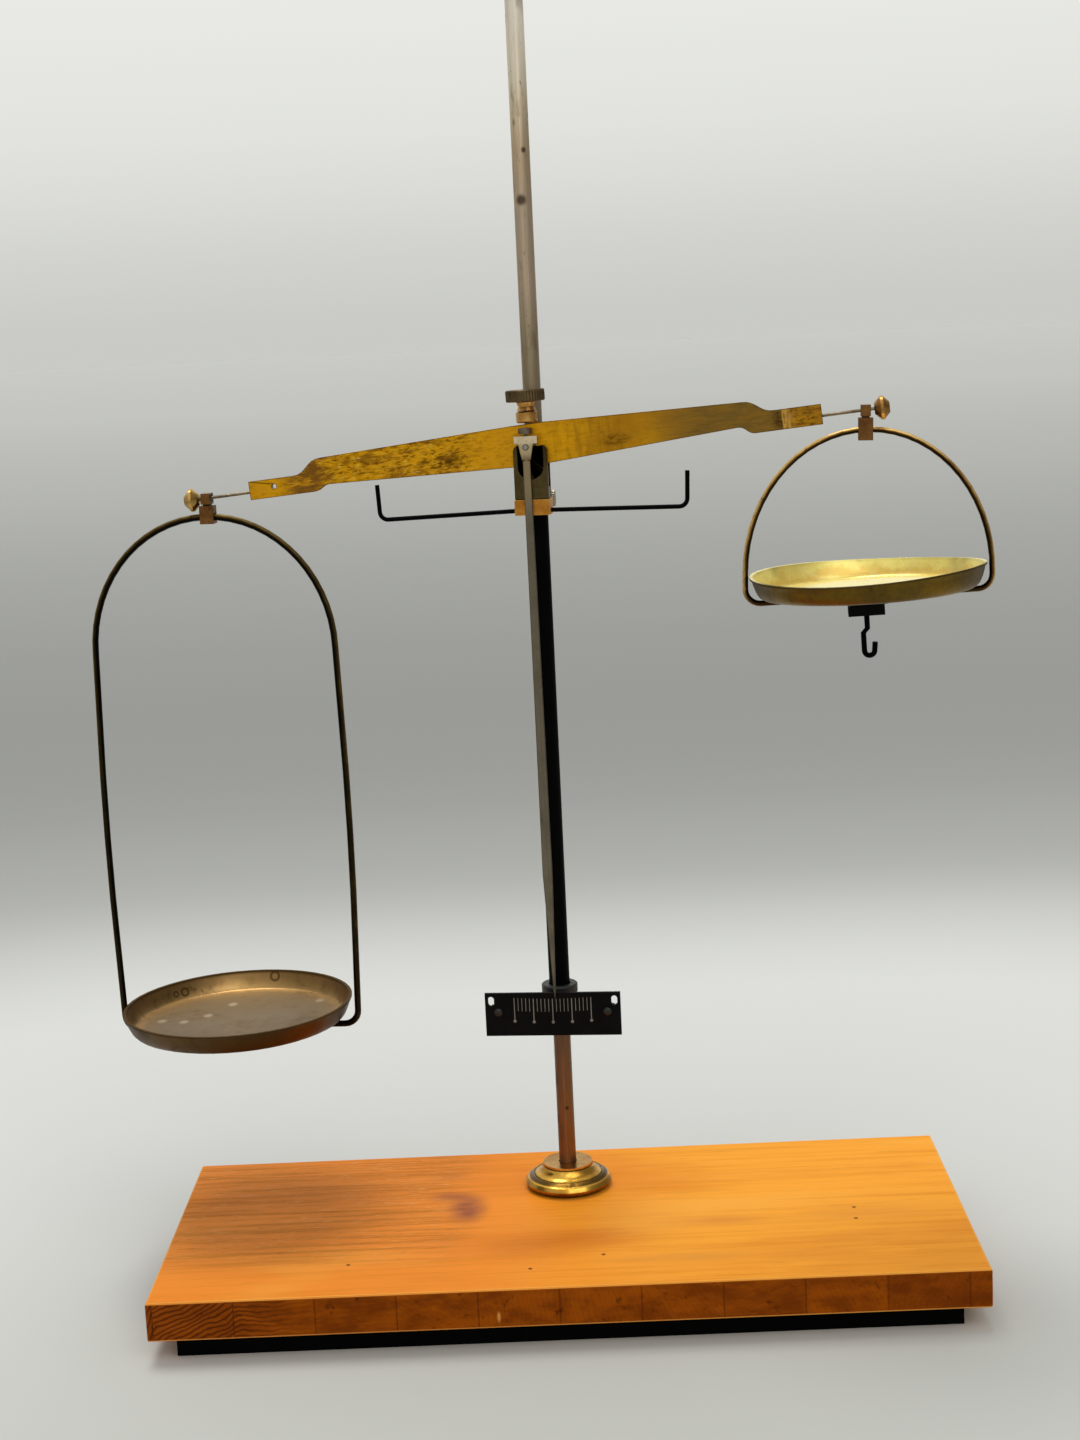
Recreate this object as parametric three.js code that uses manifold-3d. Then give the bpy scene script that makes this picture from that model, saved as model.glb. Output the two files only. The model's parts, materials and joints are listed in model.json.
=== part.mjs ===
// A two-pan beam balance of a school laboratory, on a steel rod with a varnished wooden base.
// Millimetres, +Z up, +X to the right along the beam and +Y to the back.
// The origin is the middle of the base's underside.

import * as THREE from 'three';
import { mergeVertices } from 'three/addons/utils/BufferGeometryUtils.js';
import Module from 'manifold-3d';

const wasm = await Module();
wasm.setup();

// Fits and facets
const GAP = 0.3; // between pieces that touch or seat on each other
const OVERRUN = 1; // how far a cutting shape runs past the face that it opens
const SMALL_STEPS = 16; // facets round a pin, screw or hole
const ROUND_STEPS = 28; // facets round a collar, nut or tube
const PAN_STEPS = 48; // facets round a pan
const WIRE_SIDES = 8;
const HEX_SIDES = 6;

// Base board, its black plinth and the screws between them
const BOARD_LENGTH = 450;
const BOARD_DEPTH = 200;
const BOARD_THICKNESS = 22;
const BOARD_CHAMFER = 0.8;
const PLINTH_HEIGHT = 12;
const PLINTH_END_INSET = 14;
const PLINTH_SIDE_INSET = 8;
const PLINTH_HOLE_RADIUS = 17;
const SCREW_INSET = 22; // from the plinth's edges to the wood screws
const SCREW_HEAD_RADIUS = 4;
const SCREW_HEAD_DEPTH = 2.6;
const SCREW_SHANK_RADIUS = 2;
const SCREW_LENGTH = 25;
const SCREW_SINK = 0.6; // how far the head lies below the plinth's face
const SCREW_TIP = 3.5;

// Rod, its nut and washer under the board, and the brass rosette round its foot
const ROD_RADIUS = 5;
const ROD_LENGTH = 750;
const ROD_LIFT = 2; // between the rod's lower end and the table
const ROD_CHAMFER = 0.8;
const ROD_RIGHT = 1.8; // from the board's middle to the rod
const ROD_FROM_BACK = 55.4; // from the board's back edge to the rod
const ROD_BACK = BOARD_DEPTH / 2 - ROD_FROM_BACK;
const WASHER_RADIUS = 10.5;
const WASHER_THICKNESS = 2;
const NUT_RADIUS = 9.8; // across the corners
const NUT_HEIGHT = 5.4;
const ROSETTE_RADIUS = 25;
const ROSETTE_HEIGHT = 14.5;
const ROSETTE_FOOT_RADIUS = 22.4;
const ROSETTE_BELLY_HEIGHT = 3.4;
const ROSETTE_SHOULDER_HEIGHT = 8;
const ROSETTE_SHOULDER_RADIUS = 20.6;
const ROSETTE_GROOVE = 0.9;
const ROSETTE_COVE_RADIUS = 19.8;
const ROSETTE_TOP_RADIUS = 14.5;
const ROSETTE_RIM = 1.2;
const ROSETTE_CURVE_STEPS = 4;

// Where the head stands: the line of its knife edge and its turn about the rod, right end forward
const KNIFE_HEIGHT = 466.9;
const HEAD_TURN = THREE.MathUtils.degToRad(6);
const REST_TILT = THREE.MathUtils.degToRad(5.26); // of the beam, left end down
const BEAM_OFFSET = 17; // from the rod's axis forward to the beam's middle

// Head: clamp block on the rod, yoke and its two bearings. Heights count from the knife edge
const BLOCK_WIDTH = 19.8;
const BLOCK_HEIGHT = 8.6;
const BLOCK_BOTTOM = -34.2;
const HUB_WIDTH = 15;
const HUB_HEIGHT = 17;
const HUB_BACK = 10;
const HUB_FRONT = 8;
const HUB_CORNER = 6;
const YOKE_WIDTH = 18.8;
const YOKE_TOP = 4.5;
const YOKE_CORNER = 3.6;
const CHEEK_THICKNESS = 2.6;
const CHEEK_SPACE = 7.8; // between the two cheeks
const YOKE_FLOOR = -19;
const BEARING_WIDTH = 13;
const BEARING_BOTTOM = -13.8;
const BEARING_RECESS = 0.25; // of the bearing's face behind the cheek's
const NOTCH_ANGLE = THREE.MathUtils.degToRad(55); // of the notch's flanks, from upright

// Thumbscrew that clamps the head to the rod
const THUMB_HEIGHT = -26.9;
const THUMB_HEAD_RADIUS = 4.6;
const THUMB_HEAD_THICKNESS = 2;
const THUMB_NECK_RADIUS = 2.6;
const THUMB_NECK_LENGTH = 0.6;
const THUMB_SHANK_RADIUS = 1.6;
const KNURL_TEETH = 20;
const KNURL_DEPTH = 0.35;

// Stop wire: the beam's travel ends on its two tips
const STOP_RADIUS = 1.25;
const STOP_RISE = 2.2; // of its axis above the block's underside
const STOP_CORNER_LEFT = 86.5; // from the middle to the corner
const STOP_CORNER_RIGHT = 85.1;
const STOP_DROOP_LEFT = 2.2; // how far the corner hangs below the middle
const STOP_DROOP_RIGHT = 0.9;
const STOP_BEND_RADIUS = 4.5;
const STOP_LEAN_LEFT = THREE.MathUtils.degToRad(2.7); // of the upturned ends, outward
const STOP_LEAN_RIGHT = THREE.MathUtils.degToRad(1.9);
const STOP_TIP_LEFT = -14.6; // height of the left tip
const STOP_TIP_RIGHT = -13.2;
const STOP_BEND_STEPS = 6;

// Sleeve tube that carries the scale, its collar, bracket, plate and screws
const SLEEVE_RADIUS = 6;
const SLEEVE_LENGTH = 275.7;
const COLLAR_RADIUS = 10.5;
const COLLAR_HEIGHT = 5.6;
const COLLAR_HUB_RADIUS = 8.6;
const COLLAR_HUB_HEIGHT = 8.4;
const COLLAR_EDGE = 0.6;
const COLLAR_SOCKET = 1.2; // how deep the tube's end sits in the collar
const PLATE_WIDTH = 78.2;
const PLATE_HEIGHT = 25.4;
const PLATE_THICKNESS = 1.8;
const PLATE_TOP = -308; // from the knife edge down to the plate's upper edge
const PLATE_SHIFT = -1.9; // the scale sits a little left of the head's middle
const PLATE_SLOT_WIDTH = 3.5;
const PLATE_SLOT_LENGTH = 5.6;
const PLATE_SLOT_INSET = 3.5; // from the plate's end to the slot's middle
const PLATE_SLOT_DROP = 4.8; // from the plate's top to the slot's middle
const SCALE_SCREW_SPACING = 63;
const SCALE_SCREW_DROP = 11.2;
const SCALE_SCREW_RADIUS = 1.3;
const SCALE_HEAD_RADIUS = 2.5;
const SCALE_HEAD_HEIGHT = 1.5;
const SCALE_HEAD_STEPS = 4;
const STRAP_HEIGHT = 7;
const STRAP_THICKNESS = 2;
const STRAP_MARGIN = 4; // of strap beyond each screw
const ARM_WIDTH = 9;
const POINTER_TO_PLATE = 1.1; // running gap behind the pointer's blade

// Beam, with heights from the knife edge
const BEAM_THICKNESS = 4;
const BEAM_ARM = 184.6; // from the centre knife to each end knife
const BEAM_CENTRE_HALF = 10;
const BEAM_CENTRE_TOP = 15.8;
const BEAM_CENTRE_BOTTOM = -6.9;
const SHOULDER_OUT = 118; // the filed beam is a little deeper on its left than on its right
const SHOULDER_OUT_BELOW = 114.4;
const LEFT_SHOULDER_TOP = 12.8;
const LEFT_SHOULDER_BOTTOM = -2.4;
const RIGHT_SHOULDER_TOP = 11.8;
const RIGHT_SHOULDER_BOTTOM = -1.6;
const STEP_LENGTH = 17; // of the swept step down to the end bar
const STEP_LENGTH_BELOW = 9.5;
const STEP_SHARE = 0.5; // how far the sweep's handles reach along the step
const STEP_STEPS = 8;
const BAR_TIP_OUT = 160.5;
const LEFT_BAR_TOP = 4.8;
const LEFT_BAR_BOTTOM = -5.5;
const RIGHT_BAR_TOP = 5.2;
const RIGHT_BAR_BOTTOM = -5.8;
const PIN_HOLE_OUT = 146.2;
const PIN_HOLE_RISE = 0.4; // above the line of the knife edges
const PIN_HOLE_RADIUS = 1.4;

// Centre knife and the trunnion that carries the pointer
const KNIFE_DEPTH = 5.5;
const KNIFE_HALF_WIDTH = 3.8;
const KNIFE_END_GAP = 0.25; // from the knife's ends to the yoke's outer faces
const TRUNNION_RADIUS = 1.3;
const TRUNNION_RISE = 3.6;
const TRUNNION_LEFT = 1.5; // from the knife's middle plane
const TRUNNION_PROUD = 0.4;

// Threaded end wires, the end knives on them and the balance nuts
const END_WIRE_RADIUS = 0.9;
const END_WIRE_SEAT = 10; // how deep it is screwed into the bar
const END_KNIFE_RISE = 1.2; // of its edge above the wire's axis
const END_KNIFE_HALF_WIDTH = 1.2;
const END_KNIFE_LENGTH = 4.6;
const END_KNIFE_DEPTH = 2.3;
const END_KNIFE_CHEEK = 1.1; // from the edge down to the foot of its flanks
const END_WIRE_PAST = 10.6; // past the end knife, into the balance nut
const NUT_RIM_RADIUS = 6.5;
const NUT_NOSE_RADIUS = 3;
const NUT_LENGTH = 8.2;
const NUT_RIM_LENGTH = 1.6;
const LEFT_NUT_OUT = 5.8; // from the end knife to the nut's inner face
const RIGHT_NUT_OUT = 4.2;

// Gravity stud, lock nut and sensitivity disc above the beam
const STUD_RADIUS = 1.25;
const STUD_SEAT = 5.5; // in the beam
const STUD_LEAN = THREE.MathUtils.degToRad(3.5); // to the right, so it stands nearly upright at rest
const LOCK_NUT_RADIUS = 5.95;
const LOCK_NUT_HEIGHT = 6.5;
const LOCK_NUT_EDGE = 0.8;
const HUB_NUT_RADIUS = 5.3;
const HUB_NUT_HEIGHT = 4.6;
const HUB_NUT_WAIST = 1;
const DISC_RADIUS = 10.85;
const DISC_HEIGHT = 6.5;
const DISC_EDGE = 0.6;
const DISC_TEETH = 40;
const DISC_BORE_DEPTH = 4.4;

// Pointer, with heights from the trunnion's axis
const HEAD_BAR_WIDTH = 13.2;
const HEAD_BAR_HEIGHT = 4.4;
const HEAD_BAR_BOTTOM = 1.8;
const HEAD_THICKNESS = 2.6;
const NECK_TOP_WIDTH = 8.2;
const NECK_BOTTOM_WIDTH = 4.8;
const NECK_BOTTOM = -7;
const POINTER_CLEARANCE = 0.6; // from the yoke's face to the pointer's head
const POINTER_LEAN = THREE.MathUtils.degToRad(0.2); // tip to the right
const BLADE_TOP_WIDTH = 4.1;
const BLADE_WIDTH = 5.5; // at its widest, where the taper begins
const BLADE_THICKNESS = 1.2;
const BLADE_TIP = -316.3;
const BLADE_TAPER = 75; // length of the taper above the tip
const BLADE_POINT = 8;
const BLADE_POINT_WIDTH = 1.3;
const BLADE_TIP_SHIFT = 0.7; // the right edge is the straighter one
const TONGUE_LENGTH = 3; // of the blade, up in a slot of the head
const TONGUE_INSET = 0.9;
const POINTER_SCREW_RADIUS = 0.9;
const POINTER_SCREW_HEAD_RADIUS = 3.9;
const POINTER_SCREW_HEAD_HEIGHT = 3.2;
const POINTER_SCREW_NECK = 1.1; // of thread that shows under the head

// Stirrups that hang on the end knives, with heights from the knife's edge
const LEFT_STIRRUP_SHIFT = -1.2; // the stirrups and bails hang a little off the middle of their knives
const RIGHT_STIRRUP_SHIFT = -0.4;
const STIRRUP_DEPTH = 8;
const FRAME_WIDTH = 5.4;
const FRAME_ROOF = 1.2;
const WINDOW_HEIGHT = 3.1;
const WINDOW_WIDTH = 5.4;
const FRAME_FOOT = 1.8; // of metal under the window
const GROOVE_HEIGHT = 0.8;
const GROOVE_WIDTH = 4.2;
const STIRRUP_BLOCK_WIDTH = 8;
const LEFT_BLOCK_HEIGHT = 10.2;
const RIGHT_BLOCK_HEIGHT = 12.2;
const BAIL_DROP = 11.8; // from the knife edge down to the bail's apex
const BAIL_HOLE_GAP = 0.4;

// Bails and pans, with heights from the end knife's edge
const LEFT_BAIL_RADIUS = 1.9;
const LEFT_BAIL_HALF = 69.9; // from the middle to the leg's axis
const LEFT_ARCH_HEIGHT = 76;
const LEFT_LEG_BOW = 1.9; // of the long legs, outward
const LEFT_BAIL_SHIFT = -3;
const LEFT_RIM = -296.2; // height of the pan's rim
const LEFT_PAN_RADIUS = 66.8;
const LEFT_PAN_SHIFT = -1.1; // from the bail's middle, up to its left leg
const LEFT_PAN_TILT = THREE.MathUtils.degToRad(0.8); // right side up
const RIGHT_SWING = THREE.MathUtils.degToRad(1.55); // of the whole hanger, to the left
const RIGHT_BAIL_RADIUS = 1.6;
const RIGHT_BAIL_HALF = 67.1;
const RIGHT_ARCH_HEIGHT = 78;
const RIGHT_LEG_BOW = 0;
const RIGHT_BAIL_SHIFT = 1.4;
const RIGHT_RIM = -88.5;
const RIGHT_PAN_RADIUS = 64.7;
const RIGHT_PAN_SHIFT = 0.5;
const RIGHT_PAN_TILT = THREE.MathUtils.degToRad(3.6);
const RIGHT_PAN_BEND = 1.26; // how far its rim is bent up at two sides and down between them
const RIGHT_PAN_BEND_TURN = THREE.MathUtils.degToRad(-25); // from the right to the raised side
const BAIL_CORNER = 8;
const LEG_STEPS = 6;
const BAIL_END_GAP = 1; // between the wire's two ends, under the pan
const ARCH_STEPS = 30;
const CORNER_STEPS = 6;
const PAN_DEPTH = 11.6;
const PAN_THICKNESS = 1;
const PAN_FLOOR_SHARE = 0.9; // of the pan's radius that is flat
const PAN_WALL_PULL = 2.4;
const PAN_WALL_LIFT = 0.8;
const PAN_WALL_STEPS = 6;
const LIP_WIDTH = 0.8;
const LIP_HEIGHT = 1.2;

// Saddles that hold the pans on their bails, hook block and hook
const LEFT_SADDLE_LENGTH = 16;
const LEFT_SADDLE_HEIGHT = 5.6;
const RIGHT_SADDLE_LENGTH = 20;
const RIGHT_SADDLE_HEIGHT = 6.7;
const SADDLE_DEPTH = 10;
const SADDLE_ROOF = 0.6; // of metal between the bail's hole and the pan
const HOOK_SHIFT = -1.8; // from the pan's middle
const HOOK_BLOCK_DEPTH = 12;
const HOOK_BLOCK_HEIGHT = 5.6;
const HOOK_RADIUS = 1.5;
const HOOK_STEM = 7.6; // below the block
const HOOK_JOG = 2.3;
const HOOK_JOG_DROP = 2.4;
const HOOK_SHANK = 10;
const HOOK_BEND_RADIUS = 2.8;
const HOOK_TIP_RISE = 4.6;
const HOOK_TIP_LEAN = 0.5;
const HOOK_BEND_STEPS = 10;
const HOOK_SEAT = 3.6; // of the stem in the block

const finishes = {
  wood: new THREE.MeshStandardMaterial({ color: 0xc98238, roughness: 0.4, metalness: 0 }),
  blackWood: new THREE.MeshStandardMaterial({ color: 0x161412, roughness: 0.7, metalness: 0 }),
  zinc: new THREE.MeshStandardMaterial({ color: 0x9a9a94, roughness: 0.45, metalness: 1 }),
  steel: new THREE.MeshStandardMaterial({ color: 0x8d8a80, roughness: 0.4, metalness: 1 }),
  hardSteel: new THREE.MeshStandardMaterial({ color: 0xa9a79c, roughness: 0.25, metalness: 1 }),
  brass: new THREE.MeshStandardMaterial({ color: 0xb58a2c, roughness: 0.35, metalness: 1 }),
  copperBrass: new THREE.MeshStandardMaterial({ color: 0xb87533, roughness: 0.4, metalness: 1 }),
  bronze: new THREE.MeshStandardMaterial({ color: 0x4a3c24, roughness: 0.5, metalness: 1 }),
  darkBrown: new THREE.MeshStandardMaterial({ color: 0x2e2118, roughness: 0.5, metalness: 0.6 }),
  panBronze: new THREE.MeshStandardMaterial({ color: 0x6a5138, roughness: 0.4, metalness: 1 }),
  black: new THREE.MeshStandardMaterial({ color: 0x111111, roughness: 0.45, metalness: 0.3 }),
  agate: new THREE.MeshStandardMaterial({ color: 0x0c0c0e, roughness: 0.15, metalness: 0 }),
};

// A closed geometry as a solid that can be cut and joined
function solid(geometry) {
  geometry.deleteAttribute('normal');
  geometry.deleteAttribute('uv');
  const merged = mergeVertices(geometry);
  const index = merged.index.array;
  const triVerts = [];
  for (let i = 0; i < index.length; i += 3) {
    const corners = [index[i], index[i + 1], index[i + 2]];
    if (new Set(corners).size === corners.length) triVerts.push(...corners);
  }
  const vertProperties = Float32Array.from(merged.attributes.position.array);
  return new wasm.Manifold(new wasm.Mesh({ numProp: 3, vertProperties, triVerts: Uint32Array.from(triVerts) }));
}

// A solid as a named mesh of its finish
function piece(name, body, finish) {
  const { vertProperties, triVerts } = body.getMesh();
  const geometry = new THREE.BufferGeometry();
  geometry.setAttribute('position', new THREE.BufferAttribute(vertProperties, 3));
  geometry.setIndex(new THREE.BufferAttribute(triVerts, 1));
  geometry.computeVertexNormals();
  const mesh = new THREE.Mesh(geometry, finish);
  mesh.name = name;
  return mesh;
}

// A box from its lowest to its highest corner
function box(low, high) {
  const size = high.map((value, axis) => value - low[axis]);
  const middle = high.map((value, axis) => (value + low[axis]) / 2);
  return solid(new THREE.BoxGeometry(...size).translate(...middle));
}

// A profile of [radius, height] pairs turned about Z
function turned(profile, steps = ROUND_STEPS) {
  const points = profile.map(([radius, height]) => new THREE.Vector2(radius, height));
  return new THREE.LatheGeometry(points, steps).rotateX(Math.PI / 2);
}

function cylinderZ(radius, bottom, top, steps = SMALL_STEPS) {
  return solid(turned([[0, bottom], [radius, bottom], [radius, top], [0, top]], steps));
}

function cylinderX(radius, left, right, y, z, steps = SMALL_STEPS) {
  const profile = [[0, left], [radius, left], [radius, right], [0, right]];
  return solid(turned(profile, steps).rotateY(Math.PI / 2).translate(0, y, z));
}

function cylinderY(radius, front, back, x, z, steps = SMALL_STEPS) {
  const profile = [[0, -back], [radius, -back], [radius, -front], [0, -front]];
  return solid(turned(profile, steps).rotateX(Math.PI / 2).translate(x, 0, z));
}

// An outline in X and Z, given as a shape or a list of points, as a plate centred on Y
function plate(outline, thickness, options = {}) {
  const shape = Array.isArray(outline) ? new THREE.Shape(outline) : outline;
  const geometry = new THREE.ExtrudeGeometry(shape, { depth: thickness, bevelEnabled: false, ...options });
  return geometry.rotateX(Math.PI / 2).translate(0, thickness / 2, 0);
}

const at = (x, z) => new THREE.Vector2(x, z);

// A wire's centre line in the X and Z plane: straight between its points, with a section at each
class WireLine extends THREE.Curve {
  constructor(points) {
    super();
    this.points = points.map((point) => new THREE.Vector3(point.x, 0, point.y));
  }
  getPoint(t) {
    const place = t * (this.points.length - 1);
    const first = Math.min(Math.floor(place), this.points.length - 2);
    return this.points[first].clone().lerp(this.points[first + 1], place - first);
  }
  getPointAt(u) {
    return this.getPoint(u);
  }
  getTangentAt(u) {
    const place = Math.round(u * (this.points.length - 1));
    const before = this.points[Math.max(place - 1, 0)];
    const after = this.points[Math.min(place + 1, this.points.length - 1)];
    return after.clone().sub(before).normalize();
  }
}

// A round wire along a list of points in the X and Z plane
function wire(points, radius) {
  const section = new THREE.Shape();
  for (let side = 0; side < WIRE_SIDES; side++) {
    const angle = (side / WIRE_SIDES) * 2 * Math.PI;
    const [u, v] = [radius * Math.cos(angle), radius * Math.sin(angle)];
    if (side === 0) section.moveTo(u, v);
    else section.lineTo(u, v);
  }
  const line = new WireLine(points);
  return solid(new THREE.ExtrudeGeometry(section, { steps: points.length - 1, extrudePath: line }));
}

// Points that round the corner at `corner` on the way from `from` to `to`
function roundCorner(from, corner, to, radius, steps) {
  const back = from.clone().sub(corner).normalize();
  const on = to.clone().sub(corner).normalize();
  const half = Math.acos(THREE.MathUtils.clamp(back.dot(on), -1, 1)) / 2;
  const centre = corner.clone().addScaledVector(back.clone().add(on).normalize(), radius / Math.sin(half));
  const start = corner.clone().addScaledVector(back, radius / Math.tan(half)).sub(centre);
  const end = corner.clone().addScaledVector(on, radius / Math.tan(half)).sub(centre);
  const turn = Math.atan2(start.cross(end), start.dot(end));
  return Array.from({ length: steps + 1 }, (_, step) =>
    start.clone().rotateAround(at(0, 0), (turn * step) / steps).add(centre));
}

// A knurled disc about Z, with its teeth cut round the rim
function knurled(radius, bottom, top, edge, teeth) {
  const outline = new THREE.Shape();
  const corners = 2 * teeth;
  for (let corner = 0; corner < corners; corner++) {
    const reach = corner % 2 === 0 ? radius : radius - KNURL_DEPTH;
    const angle = (corner / corners) * 2 * Math.PI;
    const [x, y] = [reach * Math.cos(angle), reach * Math.sin(angle)];
    if (corner === 0) outline.moveTo(x, y);
    else outline.lineTo(x, y);
  }
  const height = top - bottom;
  const rim = solid(new THREE.ExtrudeGeometry(outline, { depth: height, bevelEnabled: false }).translate(0, 0, bottom));
  const inside = radius - edge;
  const barrel = [[0, bottom], [inside, bottom], [radius, bottom + edge], [radius, top - edge], [inside, top], [0, top]];
  return rim.intersect(solid(turned(barrel, corners)));
}

// Base: the board, the plinth under it and the wood screws that hold the two together
const BOARD_TOP = PLINTH_HEIGHT + BOARD_THICKNESS;

function baseBoard() {
  const outline = new THREE.Shape();
  const [halfLength, halfDepth] = [BOARD_LENGTH / 2, BOARD_DEPTH / 2];
  outline.moveTo(-halfLength, -halfDepth);
  outline.lineTo(halfLength, -halfDepth);
  outline.lineTo(halfLength, halfDepth);
  outline.lineTo(-halfLength, halfDepth);
  const board = solid(new THREE.ExtrudeGeometry(outline, {
    depth: BOARD_THICKNESS - 2 * BOARD_CHAMFER,
    bevelThickness: BOARD_CHAMFER,
    bevelSize: BOARD_CHAMFER,
    bevelOffset: -BOARD_CHAMFER,
    bevelSegments: 1,
  }).translate(0, 0, PLINTH_HEIGHT + BOARD_CHAMFER));
  const bore = cylinderZ(ROD_RADIUS + GAP, PLINTH_HEIGHT - OVERRUN, BOARD_TOP + OVERRUN, ROUND_STEPS)
    .translate(ROD_RIGHT, ROD_BACK, 0);
  let body = board.subtract(bore);
  for (const [x, y] of screwPlaces()) body = body.subtract(woodScrewHole().translate(x, y, 0));
  return piece('base_board', body, finishes.wood);
}

function screwPlaces() {
  const x = BOARD_LENGTH / 2 - PLINTH_END_INSET - SCREW_INSET;
  const y = BOARD_DEPTH / 2 - PLINTH_SIDE_INSET - SCREW_INSET;
  return [[-x, -y], [x, -y], [-x, y], [x, y]];
}

// The wood screw's profile, grown by a clearance for its hole
function woodScrew(grow) {
  const head = SCREW_SINK + SCREW_HEAD_DEPTH;
  return [
    [0, SCREW_SINK],
    [SCREW_HEAD_RADIUS + grow, SCREW_SINK],
    [SCREW_SHANK_RADIUS + grow, head],
    [SCREW_SHANK_RADIUS + grow, SCREW_SINK + SCREW_LENGTH - SCREW_TIP],
    [0, SCREW_SINK + SCREW_LENGTH + grow],
  ];
}

function woodScrewHole() {
  const mouth = cylinderZ(SCREW_HEAD_RADIUS + GAP, -OVERRUN, SCREW_SINK + GAP);
  return solid(turned(woodScrew(GAP), SMALL_STEPS)).add(mouth);
}

function plinth() {
  const halfLength = BOARD_LENGTH / 2 - PLINTH_END_INSET;
  const halfDepth = BOARD_DEPTH / 2 - PLINTH_SIDE_INSET;
  let body = box([-halfLength, -halfDepth, 0], [halfLength, halfDepth, PLINTH_HEIGHT - GAP]);
  body = body.subtract(cylinderZ(PLINTH_HOLE_RADIUS, -OVERRUN, PLINTH_HEIGHT + OVERRUN, ROUND_STEPS)
    .translate(ROD_RIGHT, ROD_BACK, 0));
  for (const [x, y] of screwPlaces()) body = body.subtract(woodScrewHole().translate(x, y, 0));
  return piece('plinth', body, finishes.blackWood);
}

function plinthScrews() {
  return screwPlaces().map(([x, y], count) => {
    const screw = piece(`plinth_screw_${count + 1}`, solid(turned(woodScrew(0), SMALL_STEPS)), finishes.zinc);
    screw.position.set(x, y, 0);
    return screw;
  });
}

// Rod and what holds it in the board, about the rod's own axis
function standRod() {
  const [bottom, top] = [ROD_LIFT, ROD_LIFT + ROD_LENGTH];
  const end = ROD_RADIUS - ROD_CHAMFER;
  return piece('stand_rod', solid(turned([
    [0, bottom], [end, bottom], [ROD_RADIUS, bottom + ROD_CHAMFER],
    [ROD_RADIUS, top - ROD_CHAMFER], [end, top], [0, top],
  ])), finishes.steel);
}

function rodWasher() {
  const [top, bore] = [PLINTH_HEIGHT - GAP, ROD_RADIUS + GAP];
  const bottom = top - WASHER_THICKNESS;
  return piece('rod_washer', solid(turned([
    [bore, bottom], [WASHER_RADIUS, bottom], [WASHER_RADIUS, top], [bore, top], [bore, bottom],
  ])), finishes.zinc);
}

function rodNut() {
  const top = PLINTH_HEIGHT - WASHER_THICKNESS - 2 * GAP;
  const bottom = top - NUT_HEIGHT;
  const body = cylinderZ(NUT_RADIUS, bottom, top, HEX_SIDES)
    .subtract(cylinderZ(ROD_RADIUS + GAP, bottom - OVERRUN, top + OVERRUN, ROUND_STEPS));
  return piece('rod_nut', body, finishes.zinc);
}

function rosette() {
  const base = BOARD_TOP + GAP;
  const bore = ROD_RADIUS + GAP;
  const belly = new THREE.QuadraticBezierCurve(
    at(ROSETTE_FOOT_RADIUS, 0),
    at(2 * ROSETTE_RADIUS - ROSETTE_SHOULDER_RADIUS, ROSETTE_BELLY_HEIGHT),
    at(ROSETTE_SHOULDER_RADIUS, ROSETTE_SHOULDER_HEIGHT),
  );
  const coveBottom = ROSETTE_SHOULDER_HEIGHT - ROSETTE_GROOVE;
  const cove = new THREE.QuadraticBezierCurve(
    at(ROSETTE_COVE_RADIUS, ROSETTE_SHOULDER_HEIGHT),
    at(ROSETTE_TOP_RADIUS + ROSETTE_RIM, ROSETTE_SHOULDER_HEIGHT + ROSETTE_RIM),
    at(ROSETTE_TOP_RADIUS, ROSETTE_HEIGHT - ROSETTE_RIM),
  );
  const outline = [
    at(bore, 0),
    ...belly.getPoints(ROSETTE_CURVE_STEPS),
    at(ROSETTE_COVE_RADIUS - ROSETTE_GROOVE, coveBottom),
    ...cove.getPoints(ROSETTE_CURVE_STEPS),
    at(ROSETTE_TOP_RADIUS, ROSETTE_HEIGHT),
    at(bore, ROSETTE_HEIGHT),
    at(bore, 0),
  ];
  const profile = outline.map(({ x, y }) => [x, y + base]);
  return piece('rosette', solid(turned(profile, PAN_STEPS)), finishes.brass);
}

// Head, about the rod's axis, with heights from the knife edge and its front towards -Y
const YOKE_FRONT = -BEAM_OFFSET - CHEEK_SPACE / 2 - CHEEK_THICKNESS;
const YOKE_BACK = -BEAM_OFFSET + CHEEK_SPACE / 2 + CHEEK_THICKNESS;
const BLOCK_TOP = BLOCK_BOTTOM + BLOCK_HEIGHT;
const STOP_AXIS = BLOCK_BOTTOM + STOP_RISE;

function clampBlock() {
  const half = BLOCK_WIDTH / 2;
  const front = box([-half, YOKE_FRONT, BLOCK_BOTTOM], [half, -HUB_FRONT + OVERRUN, BLOCK_TOP]);
  const outline = new THREE.Shape();
  const [side, corner] = [HUB_WIDTH / 2, HUB_CORNER];
  outline.moveTo(-side, -HUB_FRONT);
  outline.lineTo(side, -HUB_FRONT);
  outline.lineTo(side, HUB_BACK - corner);
  outline.absarc(side - corner, HUB_BACK - corner, corner, 0, Math.PI / 2);
  outline.absarc(corner - side, HUB_BACK - corner, corner, Math.PI / 2, Math.PI);
  const hub = solid(new THREE.ExtrudeGeometry(outline, { depth: HUB_HEIGHT, bevelEnabled: false, curveSegments: 6 })
    .translate(0, 0, BLOCK_BOTTOM));
  const top = BLOCK_BOTTOM + HUB_HEIGHT;
  const body = front.add(hub)
    .subtract(cylinderZ(ROD_RADIUS + GAP, BLOCK_BOTTOM - OVERRUN, top + OVERRUN, ROUND_STEPS))
    .subtract(cylinderX(STOP_RADIUS + GAP, -half - OVERRUN, half + OVERRUN, -BEAM_OFFSET, STOP_AXIS))
    .subtract(cylinderX(THUMB_SHANK_RADIUS + GAP, 0, half + OVERRUN, 0, THUMB_HEIGHT));
  return piece('clamp_block', body, finishes.copperBrass);
}

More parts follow.
